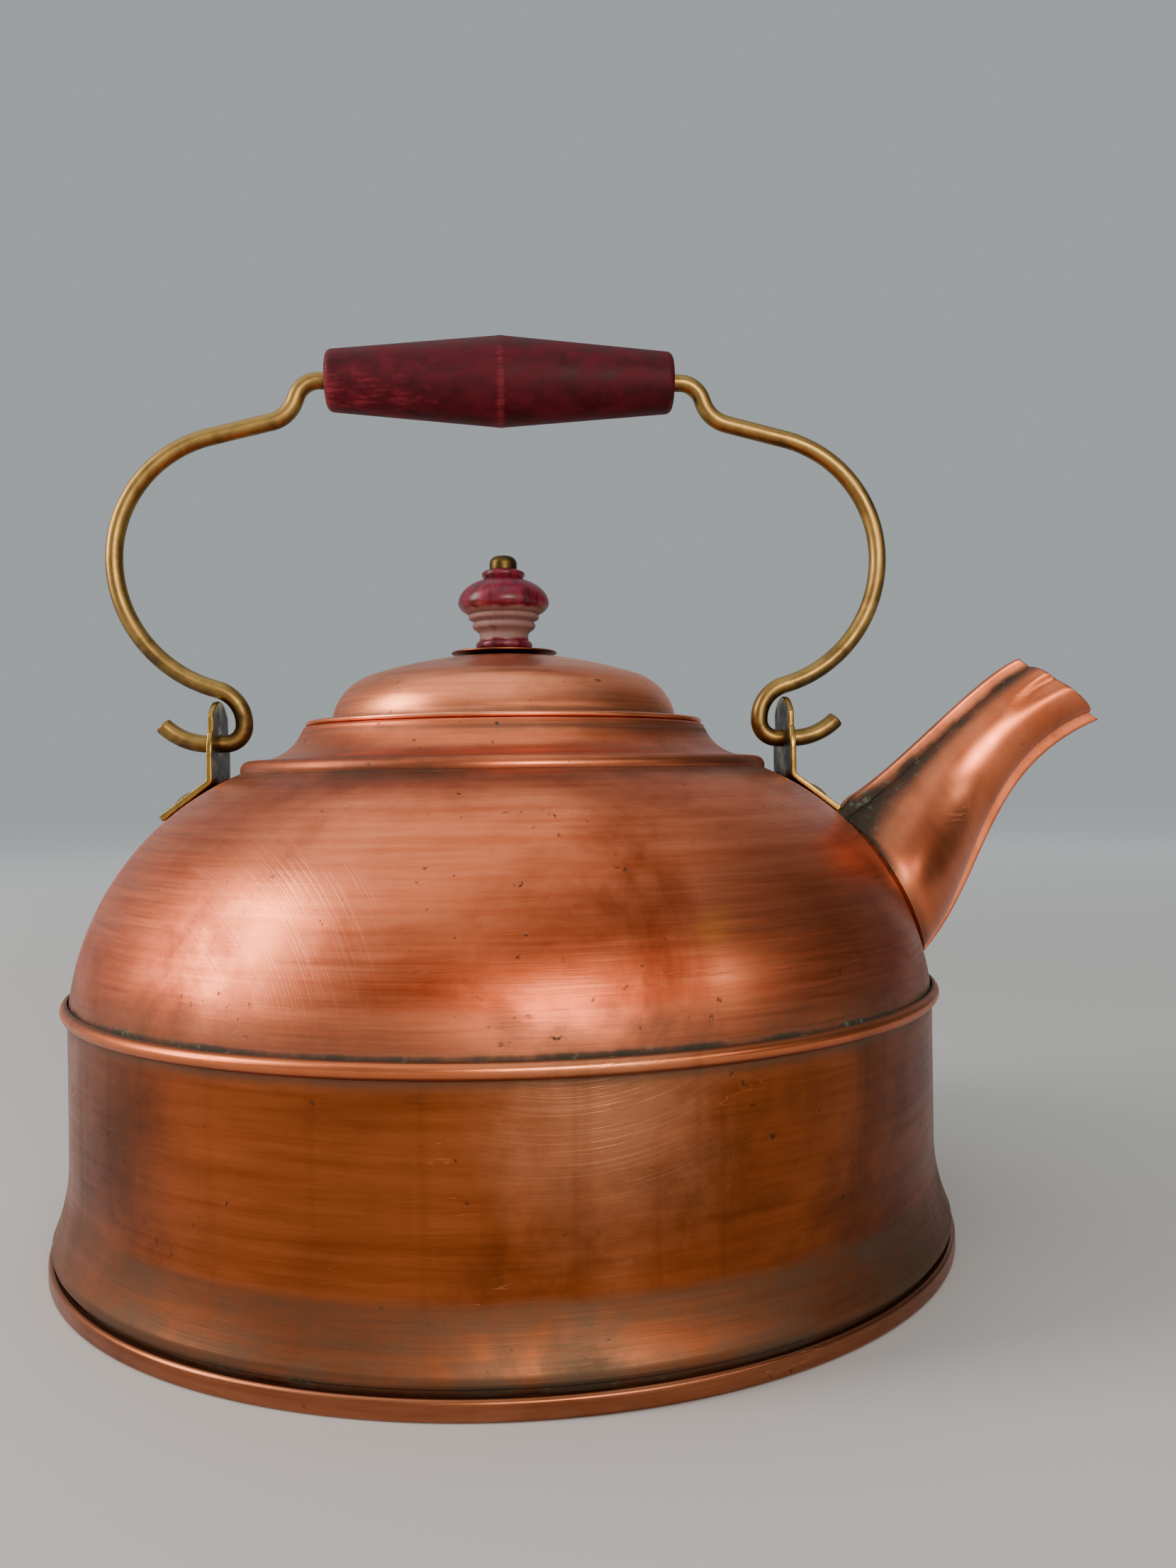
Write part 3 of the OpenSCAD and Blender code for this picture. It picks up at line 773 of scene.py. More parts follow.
# ---------------------------------------------------------------- kettle body
@dataclass
class Shell:
    """Dome, side wall and base: one pressed dome seamed onto a spun wall with a flat base.

    Attributes:
        sheet: Thickness of the copper.
        dome_arc: Radius of the dome's profile.
        edge_angle: Slope angle at which the dome meets the wall.
        neck_foot_r: Radius where the neck stands on the dome.
        neck_in: How much narrower the neck is at its top.
        neck_h: Height of the neck.
        cove_r: Radius of the neck's hollow.
        bead_r: Radius of the bead round the top of the wall.
        flare_out: How far the foot of the wall flares.
        flare_h: Height of the flare.
        edge_wide: Width of the base's turned-up edge.
        foot_over: How far the wall's foot stands out over that edge's inner side.
        seam_in: How far inside the wall's radius the dome ends.
    """

    sheet: float = 1.0
    dome_arc: float = 68.4
    edge_angle: float = 7.5
    neck_foot_r: float = 69.2
    neck_in: float = 16.0
    neck_h: float = 12.0
    cove_r: float = 12.3
    bead_r: float = 1.75
    flare_out: float = 3.9
    flare_h: float = 27.0
    edge_wide: float = 2.16
    foot_over: float = 1.25
    seam_in: float = 0.4

    def __post_init__(self) -> None:
        """Takes the wall's radius and the seam's height from the frame."""
        self.seat_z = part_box("dome_shell")[1][2] / MM
        self.rim_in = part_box("base_disc")[1][0] / MM - self.edge_wide
        self.wall_r = self.rim_in - self.flare_out + self.foot_over
        edge = math.radians(self.edge_angle)
        self.dome_cr = self.wall_r - self.seam_in - self.dome_arc * math.cos(edge)
        rise = math.sqrt(self.dome_arc ** 2 - (self.neck_foot_r - self.dome_cr) ** 2)
        self.dome_cz = self.seat_z - self.neck_h - rise
        self.shoulder_z = self.dome_cz + self.dome_arc * math.sin(edge)
        self.neck_top_r = self.neck_foot_r - self.neck_in

    def height(self, r: np.ndarray) -> np.ndarray:
        """Height of the dome's skin at a radius: the centre's height plus the arc's rise."""
        return self.dome_cz + np.sqrt(self.dome_arc ** 2 - (r - self.dome_cr) ** 2)

    def radius(self, z: np.ndarray, lift: float = 0.0) -> np.ndarray:
        """Radius of the dome's skin at a height, lifted off it by a distance."""
        return self.dome_cr + np.sqrt((self.dome_arc + lift) ** 2 - (z - self.dome_cz) ** 2)

    def slope(self, r: float) -> float:
        """Angle, in degrees, of the dome's outward normal above the horizontal at a radius."""
        return math.degrees(math.acos((r - self.dome_cr) / self.dome_arc))

    def dome(self) -> Sheet:
        """Revolves the lid seat's rolled edge, the neck's hollow, a bead and the dome's arc.

        Returns:
            The surface, in millimetres.
        """
        foot = np.array([self.neck_foot_r, float(self.height(np.array(self.neck_foot_r)))])
        seat = self.neck_top_r
        outer = run([seat - 2.8, self.seat_z - 0.3], [seat - 2.5, self.seat_z],
                    arc((seat - 0.75, self.seat_z - 1.0), 1.0, 90, 5, 8),
                    arc((seat + self.cove_r - 0.5, self.seat_z + 3.6), self.cove_r, 204, 266, 26),
                    arc(foot + (-2.4, 0.8), 2.4, 100, -15, 20),
                    arc((self.dome_cr, self.dome_cz), self.dome_arc,
                        self.slope(self.neck_foot_r + 0.25), 4.9, 110))
        outer = refine(outer, 1.2)
        body = outer[outer[:, 1] < self.seat_z - 1.6]
        inner = beside(body, self.sheet)[::-1]
        loop = run(outer, inner, [seat - 2.8, self.seat_z - 1.3])
        crease = soiled(loop, ((self.wall_r, self.shoulder_z - 0.2), 1.5, 10.0, 1.0),
                        (foot + (0.5, -0.7), 1.0, 6.0, 0.95),
                        (foot + (-3.4, 3.0), 1.1, 5.0, 0.6),
                        (foot + (-9.0, 6.0), 1.8, 5.0, 0.36),
                        ((seat + 0.5, self.seat_z - 2.2), 0.8, 3.0, 0.75))
        return revolve(loop, {"crease": crease})

    def wall(self) -> Sheet:
        """Revolves the bead, the straight wall, the concave flare and its turned-in lip.

        Returns:
            The surface, in millimetres.
        """
        flare = ((self.flare_h - 7.5) ** 2 + self.flare_out ** 2) / (2 * self.flare_out)
        last = 180 + math.degrees(math.asin((self.flare_h - 7.5) / flare))
        bead = np.array([self.wall_r, self.shoulder_z - 2.1])
        lip_r = self.wall_r + self.flare_out - 1.2
        outer = run([self.wall_r + 0.05, self.shoulder_z - 0.25],
                    arc(bead, self.bead_r, 80, -72, 22),
                    arc((self.wall_r + 0.75, bead[1] - 2.4), 0.75, 110, 180, 5),
                    arc((self.wall_r + flare, self.flare_h), flare, 180, last, 30),
                    arc((lip_r, 6.5), 1.3, 20, -90, 12))
        outer = refine(outer, 1.4)
        inner = run([self.rim_in - 0.05, 5.2], [self.rim_in - 0.05, self.sheet + 0.05],
                    [self.rim_in - 1, self.sheet + 0.05], [self.rim_in - 1, 7.5],
                    [self.wall_r, 15], [self.wall_r - self.sheet, 21],
                    [self.wall_r - self.sheet, self.shoulder_z - 4.1],
                    [self.wall_r + 0.05, self.shoulder_z - 4.1])
        loop = run(outer, inner)
        crease = soiled(loop, ((self.wall_r, self.shoulder_z - 0.2), 0.8, 1.2, 1.0),
                        ((self.wall_r, bead[1] - 2.2), 0.5, 3.0, 0.62),
                        ((self.rim_in + 0.9, 4.9), 1.8, 5.0, 1.0))
        # painted highlight: the bead's outer tip is painted brighter copper
        edge = 0.85 * near(loop, bead + (self.bead_r, 0.0), 2.6)
        return revolve(loop, {"crease": crease, "edge": edge})

    def base(self) -> Sheet:
        """Revolves the flat base and the edge turned up round the foot of the wall.

        Returns:
            The surface, in millimetres.
        """
        top = (self.rim_in + 1.08, 3.3)
        loop = run([0, 0], [self.rim_in - 9, 0], arc((self.rim_in + 1.36, 0.8), 0.8, -90, 0, 8),
                   arc(top, 1.08, 0, 180, 18), [self.rim_in, self.sheet], [0, self.sheet])
        loop = refine(loop, 6.0)
        return revolve(loop, {"crease": near(loop, (self.rim_in + 0.1, 4.4), 0.8)})

    def build(self) -> None:
        """Makes the three pieces of the shell."""
        for name, sheet, node, slot, finish in (
                ("dome_and_neck", self.dome(), "dome_shell", Slot.COPPER, DOME_COPPER),
                ("wall", self.wall(), "side_wall", Slot.COPPER_WALL, WALL_COPPER),
                ("base_and_rim", self.base(), "base_disc", Slot.COPPER_WALL, RIM_COPPER)):
            settle(make_piece(name, [sheet]), node, Body.SHELL, finish)


# ---------------------------------------------------------------- spout
@dataclass
class Spout:
    """Two pressed halves that meet in a rib along the top and bottom.

    Each section lies between an upper and a lower guide curve. Its half-width shrinks from the
    foot to the mouth, and the foot bends until it lies on the dome.
    """

    shell: Shell
    foot_w: float = 24.5
    tip_w: float = 8.6
    rib: float = 3.6
    rib_foot: float = 1.6
    reach: float = 1.0
    flange: float = 2.4
    rib_spread: float = 0.2                    # how far the ribs follow the flange outwards
    ear_gap: float = 0.35                      # clearance from the ear's foot
    fade: float = 0.32
    gap: float = 0.05
    length: float = 78.0                       # of its middle line
    rows: int = 96
    cols: int = 72
    TIP: ClassVar[int] = 5                     # points round a rib's tip
    STRIP: ClassVar[int] = 6                   # points along a rib

    def __post_init__(self) -> None:
        """Sets the guide curves out from the dome, the upper one just past the ear's foot."""
        s = self.shell
        rivet_r = s.neck_foot_r + Ears.gap + Ears.rivet_out
        past = Ears.past + self.ear_gap + 1.25 * (self.rib_foot + self.rib_spread * self.flange)
        turn = math.radians(s.slope(rivet_r)) - past / s.dome_arc
        starts = ((s.dome_cz + s.dome_arc * math.sin(turn),
                   [[0, 0], [16.4, 6.8], [37.2, 32.6], [54.6, 41.5]]),
                  (s.shoulder_z + 3, [[0, 0], [20.9, 20.2], [19.3, 53.4], [52, 65.4]]))
        self.high, self.low = (
            np.array([float(s.radius(np.array(z))), z]) + self.reach * np.array(way)
            for z, way in starts)

    @staticmethod
    def bezier(p: np.ndarray, t: np.ndarray) -> np.ndarray:
        """Cubic curve through four control points at each share t."""
        t, u = t[:, None], 1 - t[:, None]
        return u ** 3 * p[0] + 3 * u ** 2 * t * p[1] + 3 * u * t ** 2 * p[2] + t ** 3 * p[3]

    def section(self, t: np.ndarray, grow: np.ndarray) -> Tuple[np.ndarray, np.ndarray]:
        """Section across the spout at each share t, spread by grow at the foot flange.

        The outside goes round the rib's tip, along the rib, over the shell from the upper side
        to the lower one and out along the lower rib. The inside follows it one sheet in. The
        shell's fullness is the sine of the angle to the power 0.85, with a shallow valley that
        deepens into the mouth.

        Args:
            t: Share of the way up the spout, for each row.
            grow: How far each row spreads into the flange, in millimetres.

        Returns:
            Outside and inside as (rows, n, 2) distances across and out of the seam's plane.
        """
        th = self.shell.sheet
        across = self.bezier(self.high, t) - self.bezier(self.low, t)
        half = np.linalg.norm(across, axis=1)[:, None] / 2
        wide = (self.tip_w + (self.foot_w - self.tip_w) * (1 - ease(t / 0.62)) ** 1.5
                + 2.6 * (1 - t) * ease(t / 0.4))[:, None] - th
        grow = grow[:, None]
        rise = (self.rib_foot + (self.rib - self.rib_foot) * ease(t / 0.12))[:, None]
        up, down = rise + self.rib_spread * grow, self.rib + self.rib_spread * grow
        tip = np.radians(np.linspace(0, 90, self.TIP))[None, :]
        strip = np.linspace(0, 1, self.STRIP + 1)[None, 1:]
        a = np.radians(np.linspace(0, 180, self.cols + 1))[None, :]
        valley = 0.2 * ease((t[:, None] - 0.72) / 0.28) * bell(np.degrees(a) - 66, 15)
        bow = np.sin(a) ** 0.85 * (1 - valley)
        mid, r = self.gap + th / 2, th / 2
        one = np.ones_like(half)
        tip_u, tip_v = r * (np.cos(tip) - 1), r * np.sin(tip)
        skins = []
        for inset, off, out in ((0.0, self.gap + th, 1), (th, self.gap, -1)):
            u = [half + up + tip_u, half + up - r - (up - r + inset) * strip,
                 ((half - inset) * np.cos(a) + grow * np.cos(a) * np.sin(a))[:, 1:-1],
                 -(half - inset) - (down - r + inset) * (strip - strip[:, :1]),
                 -(half + down + tip_u)[:, ::-1]]
            edge, flat = mid * one + out * tip_v, off * one + 0 * strip
            v = [edge, flat, (off + wide * bow + grow * np.sin(a))[:, 1:-1], flat, edge[:, ::-1]]
            skins.append(np.stack([np.hstack(u), np.hstack(v)], -1))
        return skins[0], skins[1]

    def placed(self, t: np.ndarray, across: np.ndarray) -> np.ndarray:
        """Puts sections in space, out from the middle of the guides.

        A section's first distance runs along the line between the guides, its second in -Y.

        Args:
            t: Share of the way up the spout, for each row.
            across: (rows, n, 2) sections.

        Returns:
            Points in space.
        """
        hi, lo = self.bezier(self.high, t), self.bezier(self.low, t)
        way = (hi - lo) / np.linalg.norm(hi - lo, axis=1, keepdims=True)
        mid = ((hi + lo) / 2)[:, None, :] + way[:, None, :] * across[..., :1]
        return np.stack([mid[..., 0], -across[..., 1], mid[..., 1]], -1)

    def laid(self, t: np.ndarray, across: np.ndarray, foot: np.ndarray,
             lift: float) -> np.ndarray:
        """Bends the foot onto the dome: each point moves as its foot point does, less higher up.

        Args:
            t: Share of the way up the spout, for each row.
            across: (rows, n, 2) sections.
            foot: The sections at the foot.
            lift: How far the foot lies off the dome's skin.

        Returns:
            Points in space.
        """
        p, q = self.placed(t, across), self.placed(0 * t, foot)
        x = np.sqrt(self.shell.radius(q[..., 2], lift) ** 2 - q[..., 1] ** 2)
        on = np.stack([x, q[..., 1], q[..., 2]], -1)
        share = (1 - np.minimum(t / self.fade, 1)) ** 2
        return p + share[:, None, None] * (on - q)

    def half(self, side: int) -> Sheet:
        """One half: outside and inside carried from the flange to a round lip at the mouth.

        Args:
            side: 1 for the half at -Y, -1 for its mirror.

        Returns:
            The surface, in millimetres.
        """
        grow = np.concatenate([np.linspace(self.flange, 0, 7)[:-1], np.zeros(self.rows + 1)])
        t = np.concatenate([np.zeros(6), np.linspace(0, 1, self.rows + 1)])
        skins = [self.laid(t, skin, foot, lift) for skin, foot, lift in zip(
            self.section(t, grow), self.section(0 * t, grow),
            (self.gap + self.shell.sheet, self.gap))]
        last, before = self.bezier(self.high, np.array([1.0, 0.97]))
        ahead = np.array([last[0] - before[0], 0, last[1] - before[1]])
        ahead = ahead / np.linalg.norm(last - before) * self.shell.sheet / 2
        turn = np.radians(np.array([30.0, 60.0, 90.0]))[:, None, None]
        foot, mouth = (skins[0][:1] + skins[1][:1]) / 2, (skins[0][-1] + skins[1][-1]) / 2
        outside, inside = (
            np.concatenate([foot, skin[:-1], skin[-1:] - ahead,
                            mouth + (skin[-1] - mouth) * np.cos(turn) + ahead * (np.sin(turn) - 1)])
            for skin in skins)
        share = np.concatenate([[0], t, np.ones(3)])[:, None]
        loop = np.concatenate([outside, inside[:, ::-1]], axis=1)
        values = {"crease": np.hstack([self.soil(outside, share), np.full(inside.shape[:2], 0.6)]),
                  "along": np.repeat(share, loop.shape[1], axis=1) * self.length}
        return Sheet(loop * np.array([1, side, 1]), wrap_rows=False, values=values)

    def soil(self, outside: np.ndarray, share: np.ndarray) -> np.ndarray:
        """Dirt on the outside: under the upper rib, over the lower one and round the foot.

        Each is a bell of the distance from its crease. Under the upper rib, a narrow and a
        broad one shrink and fade from the foot to the mouth, as seen square to the seam.

        Args:
            outside: (rows, n, 3) points.
            share: (rows, 1) how far up the spout each row is, from 0 to 1.

        Returns:
            A value for each point.
        """
        at = self.TIP + self.STRIP - 1
        from_up = np.linalg.norm((outside - outside[:, at:at + 1])[..., [0, 2]], axis=-1)
        from_down = np.linalg.norm(outside - outside[:, -at - 1, None], axis=-1)
        low = np.exp(-share * 3)
        return np.maximum.reduce([
            bell(from_up, 1.5 + 8 * np.exp(-share * 5)) * (0.8 + 0.4 * low),
            bell(from_up, 3 + 12 * np.exp(-share * 4)) * (0.3 + 0.35 * low),
            bell(from_down, 1.6) * 0.45,
            bell(share * self.length, 3.2) * (0.5 + 0.7 * bell(from_up, 16))])

    def build(self) -> None:
        """Makes both halves."""
        for name, side, node in (("spout_half_near", 1, "spout_near"),
                                 ("spout_half_far", -1, "spout_far")):
            settle(make_piece(name, [self.half(side)], 30.0), node, Body.SHELL,
                   SPOUT_COPPER)


# ---------------------------------------------------------------- ears and rivets
@dataclass
class Ears:
    """Two bent brass plates that carry the bail, each riveted to the dome."""

    shell: Shell
    hinge_z: float
    thick: float = 1.5
    tongue_w: float = 18.0
    bend_in: float = 1.1
    hole_r: float = 2.38
    edge_r: float = 0.4                        # rounding of the plate's edges
    shoulder_drop: float = 3.0                 # where the shoulders' arc centres, below the hinge
    rivet_r: float = 2.5
    head_r: float = 5.5
    head_h: float = 2.0
    slack: float = 0.05                        # between the plate, the dome and the rivet
    burr_h: float = 1.2
    burr_drop: float = 1.6                     # its lower face from the dome's inner side
    gap: ClassVar[float] = 7.0                 # each ear's middle from the neck's foot
    rivet_out: ClassVar[float] = 7.3           # rivet from the ear's middle
    past: ClassVar[float] = 6.0                # the foot past its rivet

    def __post_init__(self) -> None:
        """Places the plate, its bend and its foot, which lies on the dome at the rivet."""
        self.x = self.shell.neck_foot_r + self.gap
        self.foot_r = self.x + self.rivet_out
        self.turn = math.radians(self.shell.slope(self.foot_r))
        self.foot_z = float(self.shell.height(np.array(self.foot_r)))
        self.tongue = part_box("ear_spout_side")[1][2] / MM - self.hinge_z
        self.width = 2 * self.tongue - 0.3
        self.bend_r = self.bend_in + self.thick / 2
        c0 = self.x + self.thick / 2 + self.bend_in
        lift = self.slack + self.thick + self.bend_in - (c0 - self.foot_r) * math.cos(self.turn)
        self.centre = (c0, self.foot_z + lift / math.sin(self.turn))
        self.foot_len = ((self.foot_r - c0) * math.sin(self.turn)
                         + (self.centre[1] - self.foot_z) * math.cos(self.turn) + self.past)

    def reach(self, a: np.ndarray) -> np.ndarray:
        """How far the flat plate reaches from the hinge hole in each direction.

        It is the nearest of the plate's sides, foot end and rounded top: a tongue narrower
        than the shoulders above, straight sides below.

        Args:
            a: Directions in radians, from across to up.

        Returns:
            The distance in each direction.
        """
        length = self.hinge_z - self.centre[1] + self.bend_r * self.turn + self.foot_len
        c, s = np.cos(a), np.sin(a)
        with np.errstate(divide="ignore"):
            side, neck = (np.where(np.abs(c) > 1e-9, (width / 2) / np.abs(c), 1e9)
                          for width in (self.width, self.tongue_w))
            end = np.where(s < -1e-9, length / np.abs(s), 1e9)
        drop = self.shoulder_drop
        shoulder = -drop * s + np.sqrt(np.maximum((self.width / 2) ** 2 - (drop * c) ** 2, 0))
        wide = np.where(side * s < -drop, np.minimum(side, end), shoulder)
        low = np.where(shoulder * s > drop, np.minimum(shoulder, drop / np.maximum(s, 1e-9)), wide)
        return np.maximum(low, np.where(s > 0, np.minimum(neck, self.tongue), 0))

    def bent(self, across: np.ndarray, up: np.ndarray, off: np.ndarray) -> np.ndarray:
        """Bends the flat plate: upright above the bend, round it, then straight down the dome.

        Args:
            across: Distance along Y.
            up: Distance above the hinge line in the flat plate.
            off: Distance off the plate's middle, positive on its outer side.

        Returns:
            Points in space.
        """
        r = self.bend_r
        run_down = (self.centre[1] - self.hinge_z) - up
        phi = np.clip(run_down / r, 0, self.turn)
        rest = np.maximum(run_down - r * self.turn, 0)
        x = self.centre[0] - (r - off) * np.cos(phi) + rest * math.sin(self.turn)
        z = self.centre[1] - (r - off) * np.sin(phi) - rest * math.cos(self.turn)
        return np.stack([x, across, z - np.minimum(run_down, 0)], -1)

    def plate(self, side: int) -> Sheet:
        """A polar grid round the hinge hole: over the outer face, the edge and the inner face.

        Args:
            side: 1 for the ear by the spout, -1 for the other.

        Returns:
            The surface, in millimetres.
        """
        a = np.linspace(0, 2 * np.pi, AROUND, endpoint=False)[:, None]
        out = self.reach(a)
        e, h = self.edge_r, self.thick / 2
        share = np.linspace(0, 1, 90)[None, :] ** 1.15
        bow = np.radians(np.linspace(0, 180, 9))[None, 1:-1]
        lo, hi = self.hole_r + e, out - e
        flat_r = lo + (hi - lo) * share
        edge_r = out - e + e * np.sin(bow)
        edge_h = np.where(bow < np.pi / 2, h - e + e * np.cos(bow), -h + e + e * np.cos(bow))
        hole_r = self.hole_r + e - e * np.sin(bow)
        radii = np.hstack([flat_r, edge_r, flat_r[:, ::-1], hole_r[:, ::-1] + 0 * out])
        offs = np.hstack([h + 0 * flat_r, edge_h + 0 * out, -h + 0 * flat_r,
                          edge_h[:, ::-1] + 0 * out])
        points = self.bent(radii * np.cos(a), radii * np.sin(a), offs) * np.array([side, 1, 1])
        # painted light on real tarnish: the edges are painted gold as a highlight and the faces
        # dark as shade, the face towards the neck darkest
        rubbed = 0.35 + 0.35 * bell(out - radii, 1.2) + 0.25 * (offs > 0)
        return Sheet(np.swapaxes(points, 0, 1), values={"rubbed": rubbed.T})

    def on_foot(self, sheet: Sheet, side: int) -> Sheet:
        """Stands a turned piece on the dome where the rivet goes through, on the given side.

        Args:
            sheet: A piece turned about Z, its foot at the origin.
            side: 1 for the ear by the spout, -1 for the other.

        Returns:
            The surface in its place.
        """
        tilt = math.pi / 2 - self.turn
        c, s = math.cos(tilt), math.sin(tilt)
        moved = sheet.turned(np.array([[c, 0, s], [0, 1, 0], [-s, 0, c]]),
                             (self.foot_r, 0, self.foot_z))
        moved.points = moved.points * np.array([side, 1, 1])
        return moved

    def rivet(self) -> Sheet:
        """Revolves a rivet: low domed head outside, shank, and a tail hammered flat inside.

        Returns:
            The surface, in millimetres.
        """
        top = self.slack + self.thick + self.slack
        ball = (self.head_r ** 2 + self.head_h ** 2) / (2 * self.head_h)
        tail = self.tail_z()
        first = math.degrees(math.asin((ball - self.head_h) / ball)) + 2
        cap = arc((0, top + self.head_h - ball), ball, first, 90, 16)
        cap[-1, 0] = 0
        loop = run([0, tail - 1], [self.head_r - 2.4, tail - 1], [self.head_r - 2, tail - 0.7],
                   [self.head_r - 2, tail - 0.05], [self.rivet_r, tail - 0.05],
                   [self.rivet_r, top], [self.head_r - 0.1, top], [self.head_r, top + 0.18], cap)
        rubbed = 0.45 + 0.4 * ease((loop[:, 1] - top) / self.head_h)
        return revolve(loop, {"rubbed": rubbed}, SMALL_AROUND)

    def tail_z(self) -> float:
        """Depth of the lower face of the washer under the dome, from the dome's skin."""
        return -self.shell.sheet - self.burr_drop

    def burr(self) -> Sheet:
        """Revolves the washer under a rivet's tail.

        Returns:
            The surface, in millimetres.
        """
        tail, inner = self.tail_z(), self.rivet_r + self.slack
        loop = run([inner, tail], [4.4, tail], [4.6, tail + 0.2], [4.6, tail + 1.0],
                   [4.4, tail + self.burr_h], [inner, tail + self.burr_h])
        return revolve(loop, {"rubbed": np.full(len(loop), 0.3)}, SMALL_AROUND)

    def build(self) -> None:
        """Makes the ears, their rivets and the washers inside."""
        for name, side, node in (("ear_by_spout", 1, "ear_spout_side"),
                                 ("ear_at_back", -1, "ear_back_side")):
            settle(make_piece(name, [self.plate(side)]), node, Body.SHELL, EAR_BRASS)
        for name, sheet, node in (("rivets", self.rivet(), "ear_rivets"),
                                  ("rivet_washers", self.burr(), "rivet_burrs")):
            pair = [self.on_foot(sheet, side) for side in (1, -1)]
            settle(make_piece(name, pair), node, Body.SHELL, RIVET_BRASS)


# ---------------------------------------------------------------- bail and grip
@dataclass
class Bail:
    """The hand-bent wire and the turned grip that spins on it."""

    ears: Ears
    grip_z: float
    wire_r: float = 2.3
    rise: float = 14.55
    run_a: float = 14.0                        # slope of the shallow run
    in_a: float = 15.6                         # how far the bow leans back in at its foot
    step_a: float = 70.0                       # slope of the step by the grip
    step_out: float = 6.5                      # the step from the grip's end
    step_bends: Tuple[float, float] = (6.5, 9.0)
    bow_share: float = 0.508                   # height of the bow's widest point, of the climb
    top_share: float = 0.346                   # radius of the bow above it, of the climb
    loop_r: float = 4.9
    tail_r: float = 17.0
    grip_len: float = 93.0
    grip_r: float = 12.0
    grip_end_r: float = 8.2
    grip_round: float = 1.9                    # rounding of the grip's ends
    bore_gap: float = 0.1                      # between the wire and the grip
    cut_round: float = 0.5                     # rounding of the wire's cut ends
    sides: int = 28

    def half_path(self) -> np.ndarray:
        """Middle line of half the wire, from the grip's middle to the curled tail.

        Straight through the grip, a step down, a shallow run, a wide bow out and back in, a
        tight loop over the ear, the pin through it and a curled tail. All joins are tangent.

        Returns:
            (n, 2) points, X and Z.
        """
        hinge, ear_x, loop_r = self.ears.hinge_z, self.ears.x, self.loop_r
        ia, ra, sa = (math.radians(v) for v in (self.in_a, self.run_a, self.step_a))
        climb = self.grip_z - hinge
        bow_z, up_r = hinge + climb * self.bow_share, climb * self.top_share
        dn_r = (bow_z - hinge - self.rise) / math.cos(ia)
        bow_x = ear_x + 0.2 + dn_r * (1 - math.sin(ia))
        pin_in, pin_out = ear_x - 2, ear_x + 2.2
        loop_x = pin_in - loop_r
        end_x, end_z = bow_x - dn_r + dn_r * math.sin(ia), bow_z - dn_r * math.cos(ia)
        over_r = (end_x - loop_x) / (1 - math.sin(ia))
        over = (loop_x + over_r, end_z - over_r * math.cos(ia))
        start = np.array([bow_x - up_r + up_r * math.sin(ra), bow_z + up_r * math.cos(ra)])
        top = np.array([self.grip_len / 2 + self.step_out, self.grip_z])
        k = ((self.grip_z - start[1] - (start[0] - top[0]) * math.tan(ra))
             / (math.sin(sa) - math.cos(sa) * math.tan(ra)))
        low = top + k * np.array([math.cos(sa), -math.sin(sa)])
        first_r, second_r = self.step_bends
        b1, b2 = first_r * math.tan(sa / 2), second_r * math.tan((sa - ra) / 2)
        turn_c = (low + b2 * np.array([math.cos(ra), -math.sin(ra)])
                  + second_r * np.array([math.sin(ra), math.cos(ra)]))
        path = run([0, self.grip_z], arc(top - (b1, first_r), first_r, 90, 90 - self.step_a, 16),
                   arc(turn_c, second_r, 270 - self.step_a, 270 - self.run_a, 14),
                   arc((bow_x - up_r, bow_z), up_r, 90 - self.run_a, 0, 40),
                   arc((bow_x - dn_r, bow_z), dn_r, 0, -90 + self.in_a, 36)[1:],
                   arc(over, over_r, 90 + self.in_a, 180, 22)[1:],
                   arc((pin_in, hinge + loop_r), loop_r, 180, 270, 20)[1:],
                   arc((pin_out, hinge + self.tail_r), self.tail_r, 270, 316, 22))
        return refine(path, 1.5)

    def wire(self) -> Sheet:
        """Carries a circle along the path, rounded off at both ends, with painted shade on its
        underside.

        Returns:
            The surface, in millimetres.
        """
        half = self.half_path()
        path = np.vstack([half[:0:-1] * (-1, 1), half])
        d = np.gradient(path, axis=0)
        d /= np.linalg.norm(d, axis=1, keepdims=True)
        bow = np.radians(np.array([90.0, 60.0, 30.0]))
        e = self.cut_round
        ends, back = self.wire_r - e + e * np.cos(bow), (e - e * np.sin(bow))[:, None]
        body = np.full(len(path) - 2, self.wire_r)
        shrink = np.concatenate([[0.0], ends, body, ends[::-1], [0.0]])
        head, tail = path[:1] + d[:1] * back, path[-1:] - d[-1:] * back
        line = np.vstack([path[:1], head, path[1:-1], tail[::-1], path[-1:]])
        way = np.vstack([np.repeat(d[:1], 4, 0), d[1:-1], np.repeat(d[-1:], 4, 0)])
        a = np.linspace(0, 2 * np.pi, self.sides, endpoint=False)[None, :]
        r = shrink[:, None]
        x = line[:, :1] - way[:, 1:] * r * np.cos(a)
        z = line[:, 1:] + way[:, :1] * r * np.cos(a)
        points = np.stack([x, r * np.sin(a) + 0 * x, z], -1)
        # painted shade: the value falls from the wire's top to its underside, so the underside is
        # painted dark; the next line adds real handling wear higher up
        high = 0.5 + 0.5 * np.clip((z - line[:, 1:]) / self.wire_r, -1, 1)
        handled = 0.25 * ease((line[:, 1:] - self.ears.hinge_z) / 60)
        rubbed = 0.15 + 0.5 * high + handled
        return Sheet(points, wrap_rows=False, poles=True, values={"rubbed": rubbed})

